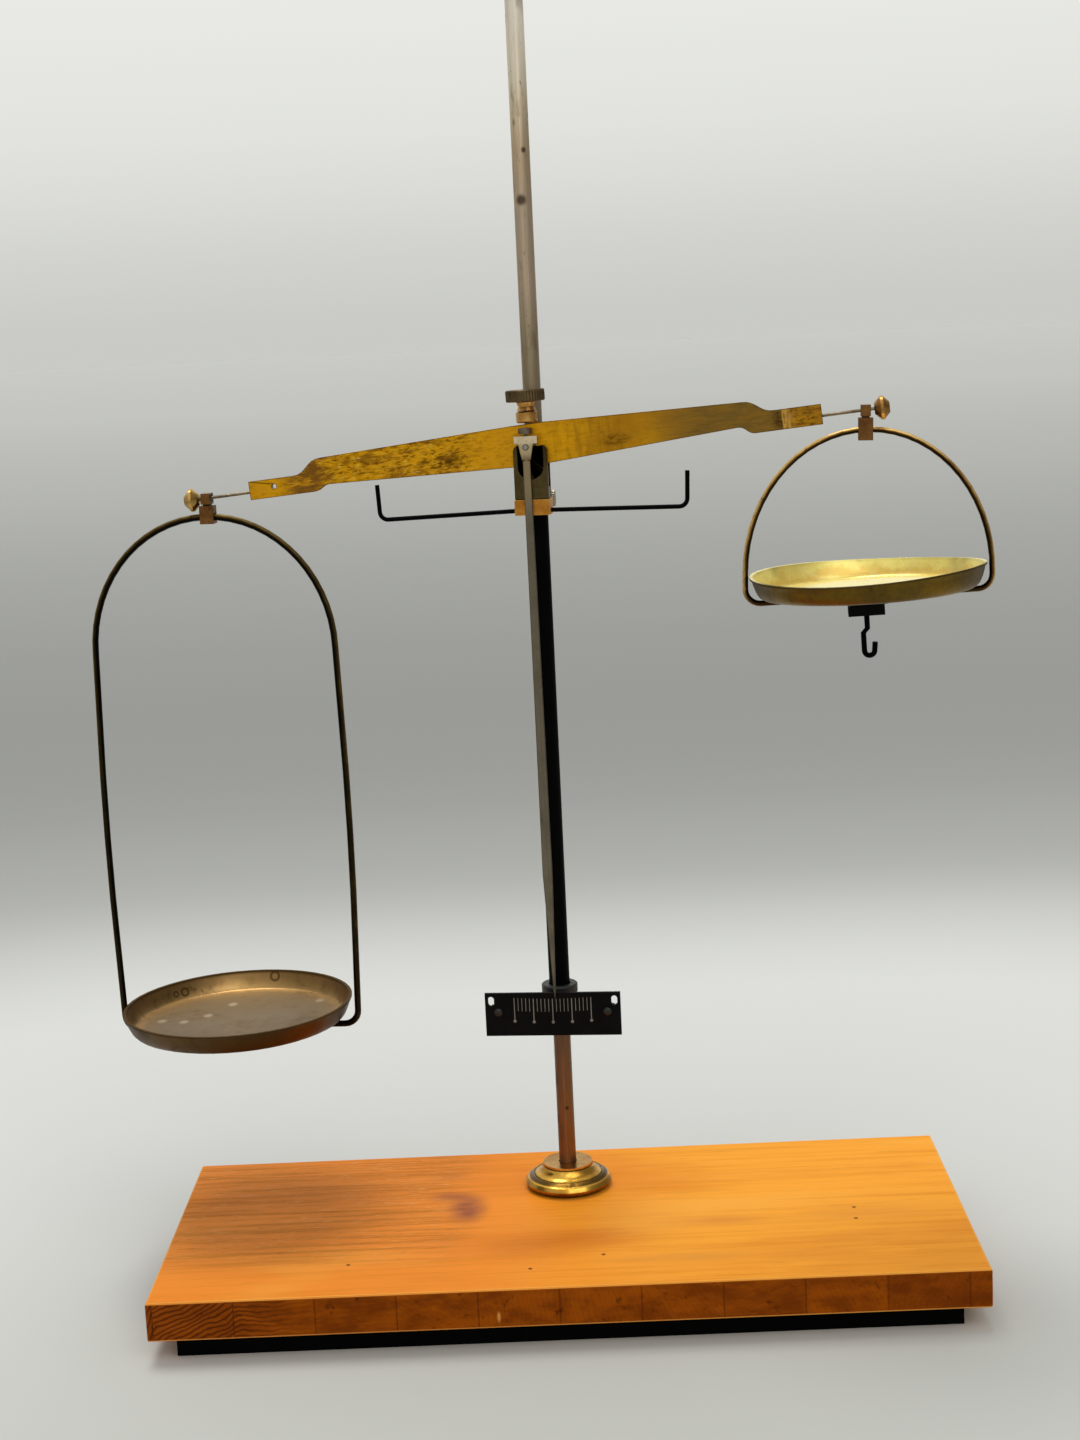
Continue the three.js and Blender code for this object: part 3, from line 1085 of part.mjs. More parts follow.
const beamGroup = group([
  beam(),
  centreKnife(),
  group([gravityStud(), lockNut(), discHub(), gravityDisc()], [0, 0, BEAM_CENTRE_TOP], 'y', STUD_LEAN),
  endWire('end_wire_left', -1),
  endWire('end_wire_right', 1),
  balanceNut('balance_nut_left', -1, LEFT_NUT_OUT),
  balanceNut('balance_nut_right', 1, RIGHT_NUT_OUT),
], [0, -BEAM_OFFSET, 0], 'y', -REST_TILT);

const [trunnionX, , trunnionZ] = onBeam(-TRUNNION_LEFT, TRUNNION_RISE);
const pointerGroup = group([pointerHead(), pointerBlade(), pointerScrew()],
  [trunnionX, POINTER_MIDDLE, trunnionZ], 'y', -POINTER_LEAN);

const [leftScrew, rightScrew] = scaleScrewPlaces();
const head = group([
  clampBlock(),
  yoke(),
  bearing('bearing_front', -1),
  bearing('bearing_rear', 1),
  thumbscrew(),
  stopWire(),
  sleeveTube(),
  scaleCollar(),
  scaleBracket(),
  scalePlate(),
  scaleScrew('scale_screw_left', leftScrew),
  scaleScrew('scale_screw_right', rightScrew),
  beamGroup,
  pointerGroup,
  leftHanger,
  rightHanger,
], [ROD_RIGHT, ROD_BACK, KNIFE_HEIGHT], 'z', -HEAD_TURN);

const stand = group([standRod(), rodWasher(), rodNut(), rosette()], [ROD_RIGHT, ROD_BACK, 0]);

const balance = new THREE.Group();
balance.add(baseBoard(), plinth(), ...plinthScrews(), stand, head);

export default balance;
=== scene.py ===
"""The looks of a two-pan beam balance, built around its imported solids. Metres, +Z up."""

import json
import math

import bmesh
import bpy
from mathutils import Matrix, Vector


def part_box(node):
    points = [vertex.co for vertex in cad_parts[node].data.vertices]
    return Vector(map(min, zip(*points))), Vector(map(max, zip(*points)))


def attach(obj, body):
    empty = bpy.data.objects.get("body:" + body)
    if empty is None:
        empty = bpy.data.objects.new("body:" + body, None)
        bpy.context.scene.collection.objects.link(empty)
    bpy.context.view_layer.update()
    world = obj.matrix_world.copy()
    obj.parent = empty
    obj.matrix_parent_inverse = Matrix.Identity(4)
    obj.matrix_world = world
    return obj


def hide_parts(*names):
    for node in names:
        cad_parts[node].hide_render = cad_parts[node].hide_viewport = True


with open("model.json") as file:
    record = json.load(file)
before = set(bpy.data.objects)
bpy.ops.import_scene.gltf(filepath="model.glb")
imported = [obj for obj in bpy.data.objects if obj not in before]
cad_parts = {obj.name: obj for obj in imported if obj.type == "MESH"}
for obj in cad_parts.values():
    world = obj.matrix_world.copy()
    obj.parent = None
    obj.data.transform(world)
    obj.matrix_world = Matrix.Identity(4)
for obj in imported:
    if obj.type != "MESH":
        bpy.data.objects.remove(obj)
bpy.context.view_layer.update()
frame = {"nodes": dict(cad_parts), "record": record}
nodes = frame["nodes"]
body_of = {node: body for body, members in frame["record"]["behaviour"]["bodies"].items() for node in members}
slot_of = {part["node"]: part["material_slot"] for part in frame["record"]["subparts"]}

MM = 0.001

# Camera: a 56 mm lens, tipped down and rolled a little, as the photograph was taken
PITCH = math.radians(9.934)
YAW = math.radians(0.798)
ROLL = math.radians(-2.714)
CAMERA_PLACE = Vector((15.3, -1222.3, 535.7)) * MM
LENS = 56.25  # for a picture 36 mm high
PICTURE_HEIGHT = 36


def make_camera():
    camera = bpy.data.objects.new("camera", bpy.data.cameras.new("camera"))
    bpy.context.scene.collection.objects.link(camera)
    camera.data.sensor_fit = "VERTICAL"
    camera.data.sensor_height = PICTURE_HEIGHT
    camera.data.lens = LENS
    camera.data.clip_start = 0.01
    camera.data.clip_end = 200
    ahead = Vector((-math.sin(YAW) * math.cos(PITCH), math.cos(YAW) * math.cos(PITCH), -math.sin(PITCH)))
    right = ahead.cross(Vector((0, 0, 1))).normalized()
    up = right.cross(ahead)
    side = math.cos(ROLL) * right + math.sin(ROLL) * up
    top = -math.sin(ROLL) * right + math.cos(ROLL) * up
    turn = Matrix((side, top, -ahead)).transposed()
    camera.matrix_world = Matrix.Translation(CAMERA_PLACE) @ turn.to_4x4()
    bpy.context.scene.camera = camera


def linear(text):
    """A colour written as rrggbb, as linear values with alpha."""
    values = [int(text[i:i + 2], 16) / 255 for i in (0, 2, 4)]
    return tuple(v / 12.92 if v <= 0.04045 else ((v + 0.055) / 1.055) ** 2.4 for v in values) + (1.0,)


def fill_band(band, stops):
    """Gives a colour ramp its stops, which are places from 0 to 1 with their colours."""
    for place, _ in stops[1:-1]:
        band.elements.new(place)
    for stop, (place, colour) in zip(band.elements, stops):
        stop.position = place
        stop.color = colour


class Finish:
    """A Principled material and the node calls that its patterns are made from."""

    def __init__(self, name, metallic=0.0, roughness=0.5, coat=0.0, coat_roughness=0.1):
        self.material = bpy.data.materials.new(name)
        self.material.use_nodes = True
        self.tree = self.material.node_tree
        self.shader = self.tree.nodes["Principled BSDF"]
        self.set("Metallic", metallic)
        self.set("Roughness", roughness)
        self.set("Coat Weight", coat)
        self.set("Coat Roughness", coat_roughness)
        self.place = self.tree.nodes.new("ShaderNodeTexCoord").outputs["Object"]
        self.base = None

    def set(self, socket, value):
        if isinstance(value, bpy.types.NodeSocket):
            self.tree.links.new(value, self.shader.inputs[socket])
        else:
            self.shader.inputs[socket].default_value = value

    def put(self, node, socket, value):
        if isinstance(value, bpy.types.NodeSocket):
            self.tree.links.new(value, node.inputs[socket])
        else:
            node.inputs[socket].default_value = value

    def vector(self, operation, first, second):
        node = self.tree.nodes.new("ShaderNodeVectorMath")
        node.operation = operation
        self.put(node, 0, first)
        self.put(node, 1, second)
        return node.outputs[0]

    def from_point(self, point, turn):
        """Counts every later place from a point, in directions turned from the world's."""
        node = self.tree.nodes.new("ShaderNodeVectorRotate")
        node.rotation_type = "EULER_XYZ"
        node.invert = True
        self.put(node, "Vector", self.vector("SUBTRACT", self.place, point))
        self.put(node, "Rotation", turn)
        self.place = node.outputs[0]

    def distance(self, point, stretch):
        node = self.tree.nodes.new("ShaderNodeVectorMath")
        node.operation = "LENGTH"
        self.put(node, 0, self.vector("MULTIPLY", self.vector("SUBTRACT", self.place, point), stretch))
        return node.outputs["Value"]

    def stretched(self, scale, shift=(0, 0, 0)):
        return self.vector("ADD", self.vector("MULTIPLY", self.place, scale), shift)

    def noise(self, scale, detail=4, roughness=0.55, vector=None, distortion=0.0):
        node = self.tree.nodes.new("ShaderNodeTexNoise")
        self.put(node, "Vector", vector or self.place)
        self.put(node, "Scale", scale)
        self.put(node, "Detail", detail)
        self.put(node, "Roughness", roughness)
        self.put(node, "Distortion", distortion)
        return node.outputs["Fac"]

    def ramp(self, fac, low, high, from_value=0.0, to_value=1.0):
        """fac, stretched from low..high to from_value..to_value and held there."""
        node = self.tree.nodes.new("ShaderNodeMapRange")
        node.interpolation_type = "SMOOTHSTEP"
        self.put(node, "Value", fac)
        self.put(node, "From Min", low)
        self.put(node, "From Max", high)
        self.put(node, "To Min", from_value)
        self.put(node, "To Max", to_value)
        return node.outputs["Result"]

    def mix(self, fac, first, second, blend="MIX"):
        node = self.tree.nodes.new("ShaderNodeMix")
        node.data_type = "RGBA"
        node.blend_type = blend
        self.put(node, 0, fac)
        self.put(node, 6, first)
        self.put(node, 7, second)
        return node.outputs[2]

    def sum(self, operation, first, second=0.0):
        node = self.tree.nodes.new("ShaderNodeMath")
        node.operation = operation
        self.put(node, 0, first)
        self.put(node, 1, second)
        return node.outputs[0]

    def times(self, first, second):
        return self.sum("MULTIPLY", first, second)

    def plus(self, first, second):
        return self.sum("ADD", first, second)

    def axis(self, name):
        node = self.tree.nodes.new("ShaderNodeSeparateXYZ")
        self.put(node, 0, self.place)
        return node.outputs[name]

    def outward(self, centre):
        """1 on faces that look away from a centre in the XZ plane, -1 on those that look at it."""
        spoke = self.tree.nodes.new("ShaderNodeVectorMath")
        spoke.operation = "NORMALIZE"
        self.put(spoke, 0, self.vector("MULTIPLY", self.vector("SUBTRACT", self.place, centre), (1, 0, 1)))
        node = self.tree.nodes.new("ShaderNodeVectorMath")
        node.operation = "DOT_PRODUCT"
        self.put(node, 0, spoke.outputs[0])
        self.put(node, 1, self.tree.nodes.new("ShaderNodeTexCoord").outputs["Normal"])
        return node.outputs["Value"]

    def between(self, value, rise, fall):
        """1 between two places, growing over the rise before them and fading over the fall after them."""
        return self.times(self.ramp(value, *rise), self.ramp(value, *reversed(fall)))

    def near(self, point, radius, soft=0.5, stretch=(1, 1, 1)):
        """1 round a point, fading to 0 at the radius."""
        return self.ramp(self.distance(point, stretch), radius * soft, radius, 1.0, 0.0)

    def edge(self):
        """1 on the border of a flat face, fading to 0 inside it."""
        node = self.tree.nodes.new("ShaderNodeAttribute")
        node.attribute_name = "edge"
        return node.outputs["Fac"]

    def tint(self, amount, colour):
        self.base = self.mix(amount, self.base, linear(colour))

    def band(self, fac, stops):
        """A colour ramp from (place, tone) stops, the first at 0 and the last at 1."""
        node = self.tree.nodes.new("ShaderNodeValToRGB")
        self.put(node, "Fac", fac)
        fill_band(node.color_ramp, [(place, linear(tone)) for place, tone in stops])
        return node.outputs["Color"]

    def bump(self, height, strength, distance):
        node = self.tree.nodes.new("ShaderNodeBump")
        self.put(node, "Height", height)
        self.put(node, "Strength", strength)
        self.put(node, "Distance", distance)
        self.set("Normal", node.outputs["Normal"])


GROOVE_LINE_TONE = "2c1a06"


def metal(name, light, dark, spot, roughness=(0.3, 0.5), scale=30, cover=(0.35, 0.7), streak=(1, 1, 1),
          edge=None, falls=(), lines=()):
    """A worn metal: clouds of two tones, fine streaks and small spots. Where given it has a darker border,
    falls, which are tones that grow between two heights, and dark lines, each at a height and with half
    its width."""
    f = Finish(name, metallic=1.0)
    clouds = f.ramp(f.noise(scale, 6, 0.62), *cover)
    fine = f.noise(420, 3, 0.6, f.stretched(streak))
    f.base = f.mix(clouds, linear(light), linear(dark))
    f.tint(f.ramp(fine, 0.35, 0.75, 0.0, 0.4), dark)
    f.tint(f.ramp(f.noise(170, 5, 0.7), 0.6, 0.72, 0.0, 0.7), spot)
    for start, end, tone, amount in falls:
        f.tint(f.ramp(f.axis("Z"), start, end, 0.0, amount), tone)
    for height, half in lines:
        away = f.sum("ABSOLUTE", f.sum("SUBTRACT", f.axis("Z"), height))
        f.tint(f.ramp(away, half, half * 0.5, 0.0, 0.88), GROOVE_LINE_TONE)
    if edge:
        f.tint(f.ramp(f.edge(), 0.25, 1.0, 0.0, 0.75), edge)
    f.set("Base Color", f.base)
    f.set("Roughness", f.ramp(f.plus(f.times(clouds, 0.6), f.times(fine, 0.4)), 0.2, 0.8, *roughness))
    f.bump(fine, 0.4, 0.00003)
    return f.material


BAIL_FOOT = (12 * MM, 3 * MM)  # over a bail's lowest point: between them it darkens downwards


def make_bail(name, node, highlight_tone, middle, inner, roughness):
    """Wire with a painted highlight on the outside of its bow and painted shade inside it."""
    low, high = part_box(node)
    f = Finish(name, metallic=1.0)
    away = f.outward(((low[0] + high[0]) / 2, 0, high[2] - (high[0] - low[0]) / 2))
    cloud = f.noise(60, 5, 0.65)
    away = f.plus(away, f.times(f.sum("SUBTRACT", cloud, 0.5), 0.9))
    # Painted shade on the faces that look into the bow, a painted highlight on those that look out of it
    f.base = f.mix(f.ramp(away, 0.15, -0.35), linear(middle), linear(inner))
    f.tint(f.ramp(away, 0.25, 0.75), highlight_tone)
    f.tint(f.ramp(f.noise(260, 4, 0.7), 0.56, 0.7, 0.0, 0.6), inner)
    # Painted glints on the outer side of the bow
    f.tint(f.times(f.ramp(f.noise(95, 4, 0.7), 0.6, 0.7), f.ramp(away, -0.2, 0.4, 0.0, 0.6)), highlight_tone)
    foot_start, foot_end = (low[2] + over for over in BAIL_FOOT)
    f.tint(f.ramp(f.axis("Z"), foot_start, foot_end, 0.0, 0.75), inner)
    f.set("Base Color", f.base)
    f.set("Roughness", f.ramp(cloud, 0.25, 0.75, *roughness))
    f.bump(f.noise(300, 3), 0.3, 0.00004)
    return f.material


def make_black(name, tone="040404", light="0c0c0b", roughness=0.45, shine=0.12, speck="3c342a"):
    """Black enamel or stain, a little uneven, with a few rubbed spots."""
    f = Finish(name, roughness=roughness)
    soft = f.noise(60, 5, 0.6)
    f.base = f.mix(f.ramp(soft, 0.3, 0.8), linear(tone), linear(light))
    f.tint(f.ramp(f.noise(300, 4, 0.7), 0.7, 0.76, 0.0, 0.5), speck)
    f.set("Base Color", f.base)
    f.set("Roughness", f.ramp(soft, 0.2, 0.8, roughness - 0.1, roughness + 0.15))
    f.set("Specular IOR Level", shine)
    f.bump(f.noise(500, 3), 0.25, 0.00004)
    return f.material


# The beam's own directions: from its knife edge, along it to the right, and square to it
KNIFE = (0.000023, 0.027693, 0.4669)
HEAD_TURN = math.radians(-6)
BEAM_TURN = (0, math.radians(-5.26), HEAD_TURN)

# Places along the beam from its knife edge: where a look grows and where it fades, or a blot's middle
LEFT_WORN = ((-0.15, -0.12), (-0.045, -0.018))
LEFT_STEP = ((-0.148, -0.134), (-0.124, -0.108))
LEFT_BLOT = (-0.0475, 0, 0.001)
RIGHT_BROWN = (0.008, 0.05)
RIGHT_STREAKS = ((0.004, 0.02), (0.045, 0.062))
RIGHT_BLOT = (0.0475, 0, 0.001)
RIGHT_DULL = ((0.055, 0.1), (0.1385, 0.1395))
RIGHT_SEAM = (0.1375, 0, 0)
RIGHT_END = (0.1385, 0.1395)
END_STREAKS = (0.147, 0.1405)


def make_beam_brass():
    """Brushed and tarnished: mottled on the left arm, browner to the right, a brighter right end."""
    f = Finish("beam_brass", metallic=1.0)
    f.from_point(KNIFE, BEAM_TURN)
    out = f.axis("X")
    cloud = f.noise(1.0, 7, 0.72, f.stretched((60, 40, 190)), distortion=0.6)
    fleck = f.noise(1.0, 6, 0.75, f.stretched((210, 90, 560), (7, 0, 0)))
    scratch = f.noise(1.0, 4, 0.7, f.stretched((90, 90, 1400), (3, 0, 0)))
    upright = f.noise(1.0, 4, 0.65, f.stretched((230, 60, 45), (1, 0, 2)))
    wide = f.noise(1.0, 3, 0.5, f.stretched((26, 26, 40), (0, 0, 5)))
    f.base = f.mix(f.ramp(wide, 0.3, 0.7), linear("f2b013"), linear("dd9d20"))

    # All over, and most on the worn left arm
    worn = f.between(out, *LEFT_WORN)
    f.tint(f.times(f.ramp(cloud, 0.44, 0.62), f.plus(f.times(worn, 0.66), 0.1)), "85571a")
    f.tint(f.times(f.ramp(fleck, 0.5, 0.62), f.plus(f.times(worn, 0.5), 0.26)), "6b4511")
    f.tint(f.times(f.ramp(scratch, 0.52, 0.7), f.plus(f.times(worn, 0.5), 0.16)), "553509")
    f.tint(f.times(f.ramp(fleck, 0.44, 0.34), f.plus(f.times(worn, 0.55), 0.1)), "ffd35c")
    f.tint(f.times(f.between(out, *LEFT_STEP), f.ramp(cloud, 0.4, 0.6, 0.1, 0.7)), "7a4f24")
    blot = f.near(LEFT_BLOT, 0.011, 0.2, (0.8, 0.1, 1.6))
    f.tint(f.times(blot, f.ramp(fleck, 0.42, 0.56, 0.2, 0.8)), "54350c")

    # The right arm
    f.tint(f.times(f.ramp(out, *RIGHT_BROWN, 0.0, 0.6), f.ramp(wide, 0.2, 0.7, 0.7, 1.0)), "a2701a")
    f.tint(f.times(f.between(out, *RIGHT_STREAKS), f.ramp(upright, 0.4, 0.62, 0.0, 0.35)), "7c5216")
    blot = f.near(RIGHT_BLOT, 0.007, 0.2, (0.6, 0.1, 1.5))
    f.tint(f.times(blot, f.ramp(fleck, 0.42, 0.56, 0.2, 0.7)), "54350c")
    dull = f.between(out, *RIGHT_DULL)
    f.tint(f.times(dull, f.ramp(cloud, 0.25, 0.65, 0.6, 0.95)), "7b6130")
    f.tint(f.times(dull, f.ramp(scratch, 0.5, 0.68, 0.0, 0.45)), "4c3c18")
    seam = f.near(RIGHT_SEAM, 0.006, 0.1, (1, 0.1, 0.3))
    f.tint(f.times(seam, f.ramp(fleck, 0.4, 0.55, 0.1, 0.85)), "4a2f0e")

    # The right end's bar
    end = f.ramp(out, *RIGHT_END)
    f.tint(f.times(end, f.ramp(cloud, 0.4, 0.6, 0.2, 0.75)), "9a6a26")
    f.tint(f.times(end, f.ramp(fleck, 0.46, 0.6, 0.0, 0.7)), "5e3c14")
    streaks = f.times(f.ramp(out, *END_STREAKS, 0.0, 0.6), f.ramp(upright, 0.42, 0.56))
    f.tint(f.times(end, streaks), "f4c468")

    f.tint(f.ramp(f.edge(), 0.3, 0.85, 0.0, 0.78), "4e3a12")
    f.set("Base Color", f.base)
    f.set("Roughness", f.ramp(f.plus(cloud, f.times(scratch, 0.4)), 0.4, 0.95, 0.3, 0.52))
    f.bump(f.plus(scratch, f.times(fleck, 0.5)), 0.3, 0.00003)
    return f.material


# Stains on the board's top: place, reach along and across the grain, amount and tone
WOOD_STAINS = (((-0.14, 0.05), (0.075, 0.02), 0.15, "9c5a18"),
               ((-0.057, 0.013), (0.016, 0.03), 0.95, "864634"),
               ((-0.068, 0.031), (0.018, 0.012), 0.6, "8a4a30"),
               ((-0.07, 0.064), (0.016, 0.009), 0.4, "a8642c"),
               ((-0.02, -0.044), (0.06, 0.03), 0.5, "c46614"),
               ((0.012, -0.036), (0.05, 0.022), 0.6, "cc6c10"),
               ((0.043, 0.022), (0.05, 0.008), 0.35, "d8841f"),
               ((0.085, -0.02), (0.05, 0.012), 0.45, "cf7c30"),
               ((0.06, -0.068), (0.055, 0.009), 0.4, "c87c34"),
               ((0.165, -0.014), (0.05, 0.02), 0.3, "d48a3a"))
WOOD_SPECKS = ((0.1637, -0.0086), (0.1627, -0.0245), (-0.02, -0.075), (0.02, -0.06), (-0.12, -0.06))
SPECK_REACH = 0.0016
BOARD_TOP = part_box("base_board")[1][2]


def make_wood():
    """The board's top: orange varnish, darker and stained on its left, fine grain along it."""
    f = Finish("varnished_wood", roughness=0.42)
    grain = f.noise(1.0, 8, 0.68, f.stretched((7, 210, 210)), distortion=0.35)
    pores = f.noise(1.0, 3, 0.6, f.stretched((38, 1300, 1300)))
    dashes = f.noise(1.0, 3, 0.6, f.stretched((110, 900, 900), (5, 0, 0)))
    broad = f.noise(1.0, 6, 0.66, f.stretched((11, 30, 30), (0.7, 0.1, 0)), distortion=0.6)
    slow = f.noise(1.0, 4, 0.55, f.stretched((3.4, 13, 13), (0.4, 0.3, 0)), distortion=0.4)
    wavy = f.plus(f.axis("X"), f.times(f.sum("SUBTRACT", broad, 0.5), 0.07))
    f.base = f.mix(f.ramp(wavy, -0.07, 0.09), linear("f08c26"), linear("f9a52c"))
    f.tint(f.ramp(grain, 0.45, 0.7, 0.0, 0.42), "d97a12")
    f.tint(f.ramp(slow, 0.5, 0.7, 0.0, 0.45), "d47414")
    f.tint(f.ramp(slow, 0.48, 0.34, 0.0, 0.4), "f8ae44")
    left = f.times(f.ramp(wavy, -0.04, -0.075), f.ramp(f.axis("Y"), -0.075, -0.03, 0.12, 1.0))
    f.tint(f.times(left, f.ramp(broad, 0.3, 0.62, 0.2, 0.6)), "d27c2a")
    f.tint(f.times(left, f.ramp(grain, 0.45, 0.62, 0.0, 0.38)), "9c5a14")
    f.tint(f.times(left, f.ramp(dashes, 0.6, 0.68, 0.0, 0.45)), "e8b070")
    f.tint(f.times(left, f.ramp(dashes, 0.38, 0.3, 0.0, 0.4)), "6e3c0c")
    for place, (along, across), amount, tone in WOOD_STAINS:
        blot = f.near((*place, BOARD_TOP), along, 0.1, (1, along / across, 1))
        f.tint(f.times(blot, f.ramp(broad, 0.3, 0.6, 0.3 * amount, amount)), tone)
    f.tint(f.ramp(pores, 0.6, 0.74, 0.0, 0.32), "8a4a10")
    for place in WOOD_SPECKS:
        f.tint(f.near((*place, BOARD_TOP), SPECK_REACH, 0.4), "6a3008")
    # A painted highlight along the borders of the top
    f.tint(f.ramp(f.edge(), 0.4, 1.0, 0.0, 0.55), "f6b45c")
    f.set("Base Color", f.base)
    f.set("Roughness", f.ramp(grain, 0.2, 0.8, 0.36, 0.52))
    f.set("Specular IOR Level", 0.05)
    f.bump(f.plus(grain, f.times(pores, 0.6)), 0.35, 0.00012)
    return f.material


# The blocks that the board is glued from
BLOCK_LENGTH = 1 / 23
SIDE_TO_FRONT = 0.83  # so that the ends of the board, too, fall into blocks
RING_RATE = 2300.0
GLUE_LINE_SHARE = 0.97  # of a block's length, where its glue line begins
EDGE_DENT = (-0.0371, -0.1, 0.0185)


def make_wood_edge():
    """The board's sides: dark varnish over glued blocks of end grain, plainest on the right."""
    f = Finish("varnished_edge", roughness=0.45)
    out = f.plus(f.axis("X"), f.times(f.axis("Y"), SIDE_TO_FRONT))
    high = f.axis("Z")
    blocks = f.times(out, 1 / BLOCK_LENGTH)
    lean = f.tree.nodes.new("ShaderNodeTexWhiteNoise")
    lean.noise_dimensions = "1D"
    f.put(lean, "W", f.sum("FLOOR", blocks))
    angle = f.times(lean.outputs["Value"], 3.1)
    across = f.plus(f.times(out, f.sum("COSINE", angle)), f.times(high, f.sum("SINE", angle)))
    bent = f.plus(across, f.times(f.noise(45, 3, 0.5), 0.012))
    rings = f.sum("SINE", f.times(bent, RING_RATE))
    soft = f.noise(1.0, 5, 0.65, f.stretched((40, 40, 90)))
    shown = f.ramp(f.axis("X"), -0.13, -0.185, 0.1, 0.75)
    f.base = f.mix(f.ramp(soft, 0.35, 0.65), linear("a04d04"), linear("7c3802"))
    f.tint(f.ramp(f.axis("X"), -0.15, -0.225, 0.0, 0.4), "a25010")
    f.tint(f.times(f.ramp(rings, -0.2, 0.9), shown), "451a02")
    f.tint(f.ramp(f.sum("FRACT", blocks), GLUE_LINE_SHARE, 0.995, 0.0, 0.5), "331202")
    f.tint(f.ramp(lean.outputs["Value"], 0.3, 1.0, 0.0, 0.35), "561f03")
    f.tint(f.ramp(f.noise(130, 3, 0.6), 0.62, 0.68, 0.0, 0.5), "331203")
    f.tint(f.times(f.near(EDGE_DENT, 0.004, 0.3, (3, 1, 1)), 0.7), "e0a050")
    # Painted highlights along the arrises of the sides, brightest on the lower edge
    f.tint(f.ramp(f.edge(), 0.35, 1.0, 0.0, 0.6), "b9641a")
    f.tint(f.times(f.ramp(f.edge(), 0.6, 1.0), f.ramp(high, 0.02, 0.015)), "d28c4c")
    f.set("Base Color", f.base)
    f.set("Roughness", f.ramp(soft, 0.2, 0.8, 0.38, 0.55))
    f.set("Specular IOR Level", 0.04)
    f.bump(f.plus(soft, f.times(rings, 0.1)), 0.3, 0.00008)
    return f.material


# The rod's tones by height: brown low down from a painted reflection of the board, pale at the top from a
# painted highlight
ROD_TONES = ((0.05, "7e5c3e"), (0.072, "7b5e42"), (0.087, "765e44"), (0.118, "6f5641"), (0.2, "7c6650"),
             (0.44, "8c7b63"), (0.51, "9c8b71"), (0.53, "a69579"), (0.56, "c0aa92"), (0.593, "c3ae95"),
             (0.63, "cdb494"), (0.65, "e6d2b2"), (0.668, "f4e6cc"), (0.72, "fbf0e0"))
ROD_BOARD_REFLECTION = (0.13, 0.1)  # heights between which red streaks, a painted reflection of the board, grow downwards
ROD_PALE = (0.64, 0.7)  # and those over which the rod turns from dark steel to a pale, dull one

# Rust spots on the rod: place, reach, and how much taller than wide
ROD_SPOTS = (((0.0008, 0.0397, 0.6038), 0.0042, 1.0), ((0.0035, 0.0397, 0.6304), 0.002, 1.2),
             ((-0.002, 0.0397, 0.645), 0.002, 2.0), ((0.0028, 0.0397, 0.0828), 0.0017, 1.0),
             ((-0.003, 0.0431, 0.1), 0.0026, 3.0), ((-0.0028, 0.0428, 0.0758), 0.002, 2.0))


def make_rod_steel():
    """Bright above with a painted highlight, duller over the head, brown below the scale with a painted
    reflection of the board; rust spots in places.
    """
    f = Finish("pitted_steel_painted_light")
    streaks = f.noise(1.0, 5, 0.65, f.stretched((420, 420, 9)))
    broad = f.noise(1.0, 4, 0.6, f.stretched((160, 160, 40)))
    pits = f.noise(1.0, 4, 0.7, f.stretched((500, 500, 190)))
    high = f.axis("Z")
    first, last = ROD_TONES[0][0], ROD_TONES[-1][0]
    f.base = f.band(f.times(f.sum("SUBTRACT", high, first), 1 / (last - first)),
                    [((z - first) / (last - first), tone) for z, tone in ROD_TONES])
    f.tint(f.ramp(streaks, 0.45, 0.66, 0.0, 0.3), "5c4c38")
    f.tint(f.ramp(broad, 0.56, 0.7, 0.0, 0.4), "57452f")
    f.tint(f.ramp(pits, 0.62, 0.7, 0.0, 0.6), "3c2c1c")
    # Painted reflection of the board: red streaks low on the rod
    f.tint(f.times(f.ramp(high, *ROD_BOARD_REFLECTION), f.ramp(streaks, 0.55, 0.66, 0.0, 0.45)), "b06a3a")
    for place, reach, tall in ROD_SPOTS:
        f.tint(f.times(f.near(place, reach, 0.3, (1, 1, 1 / tall)), 0.85), "3a2412")
    f.set("Base Color", f.base)
    f.set("Metallic", f.ramp(high, *ROD_PALE, 0.85, 0.3))
    f.set("Roughness", f.ramp(streaks, 0.3, 0.7, 0.28, 0.5))
    f.bump(f.plus(streaks, pits), 0.4, 0.00004)
    return f.material


def pan_place(node):
    """The middle of a pan, a little above its underside."""
    low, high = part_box(node)
    return ((low[0] + high[0]) / 2, (low[1] + high[1]) / 2, low[2] + 1.5 * MM)


# Small dark rings on the left pan's wall, with their radii, and pale dust on its floor
LEFT_MARKS = (((-0.2267, 0.0963, 0.1467), 0.0026), ((-0.2315, 0.0922, 0.1467), 0.0018),
              ((-0.1732, 0.1098, 0.1504), 0.003))
LINT = ((-0.2334, 0.0521), (-0.2198, 0.0482), (-0.2071, 0.0581), (-0.1951, 0.0783), (-0.1426, 0.0767))
LINT_HEIGHT = 0.1435
LINT_REACH = 0.0034

# Stains on the right pan: place, reach and amount
RIGHT_STAINS = (((0.146, 0.0605, 0.3962), 0.012, 0.4), ((0.136, 0.052, 0.3955), 0.011, 0.6),
                ((0.2371, 0.0363, 0.3943), 0.016, 0.4))

FLOOR_TO_WALL = (0.042, 0.061)  # from a pan's middle: where its floor's tone turns into its wall's
LEFT_RING = ((0.053, 0.059), (0.06, 0.0645))  # where the ring of painted reflection grows and fades
RIGHT_RING = ((0.0565, 0.0595), (0.06, 0.0625))
BACK_TO_FRONT = (0.0, -0.035)  # from a pan's middle: between them its rim's painted shade changes
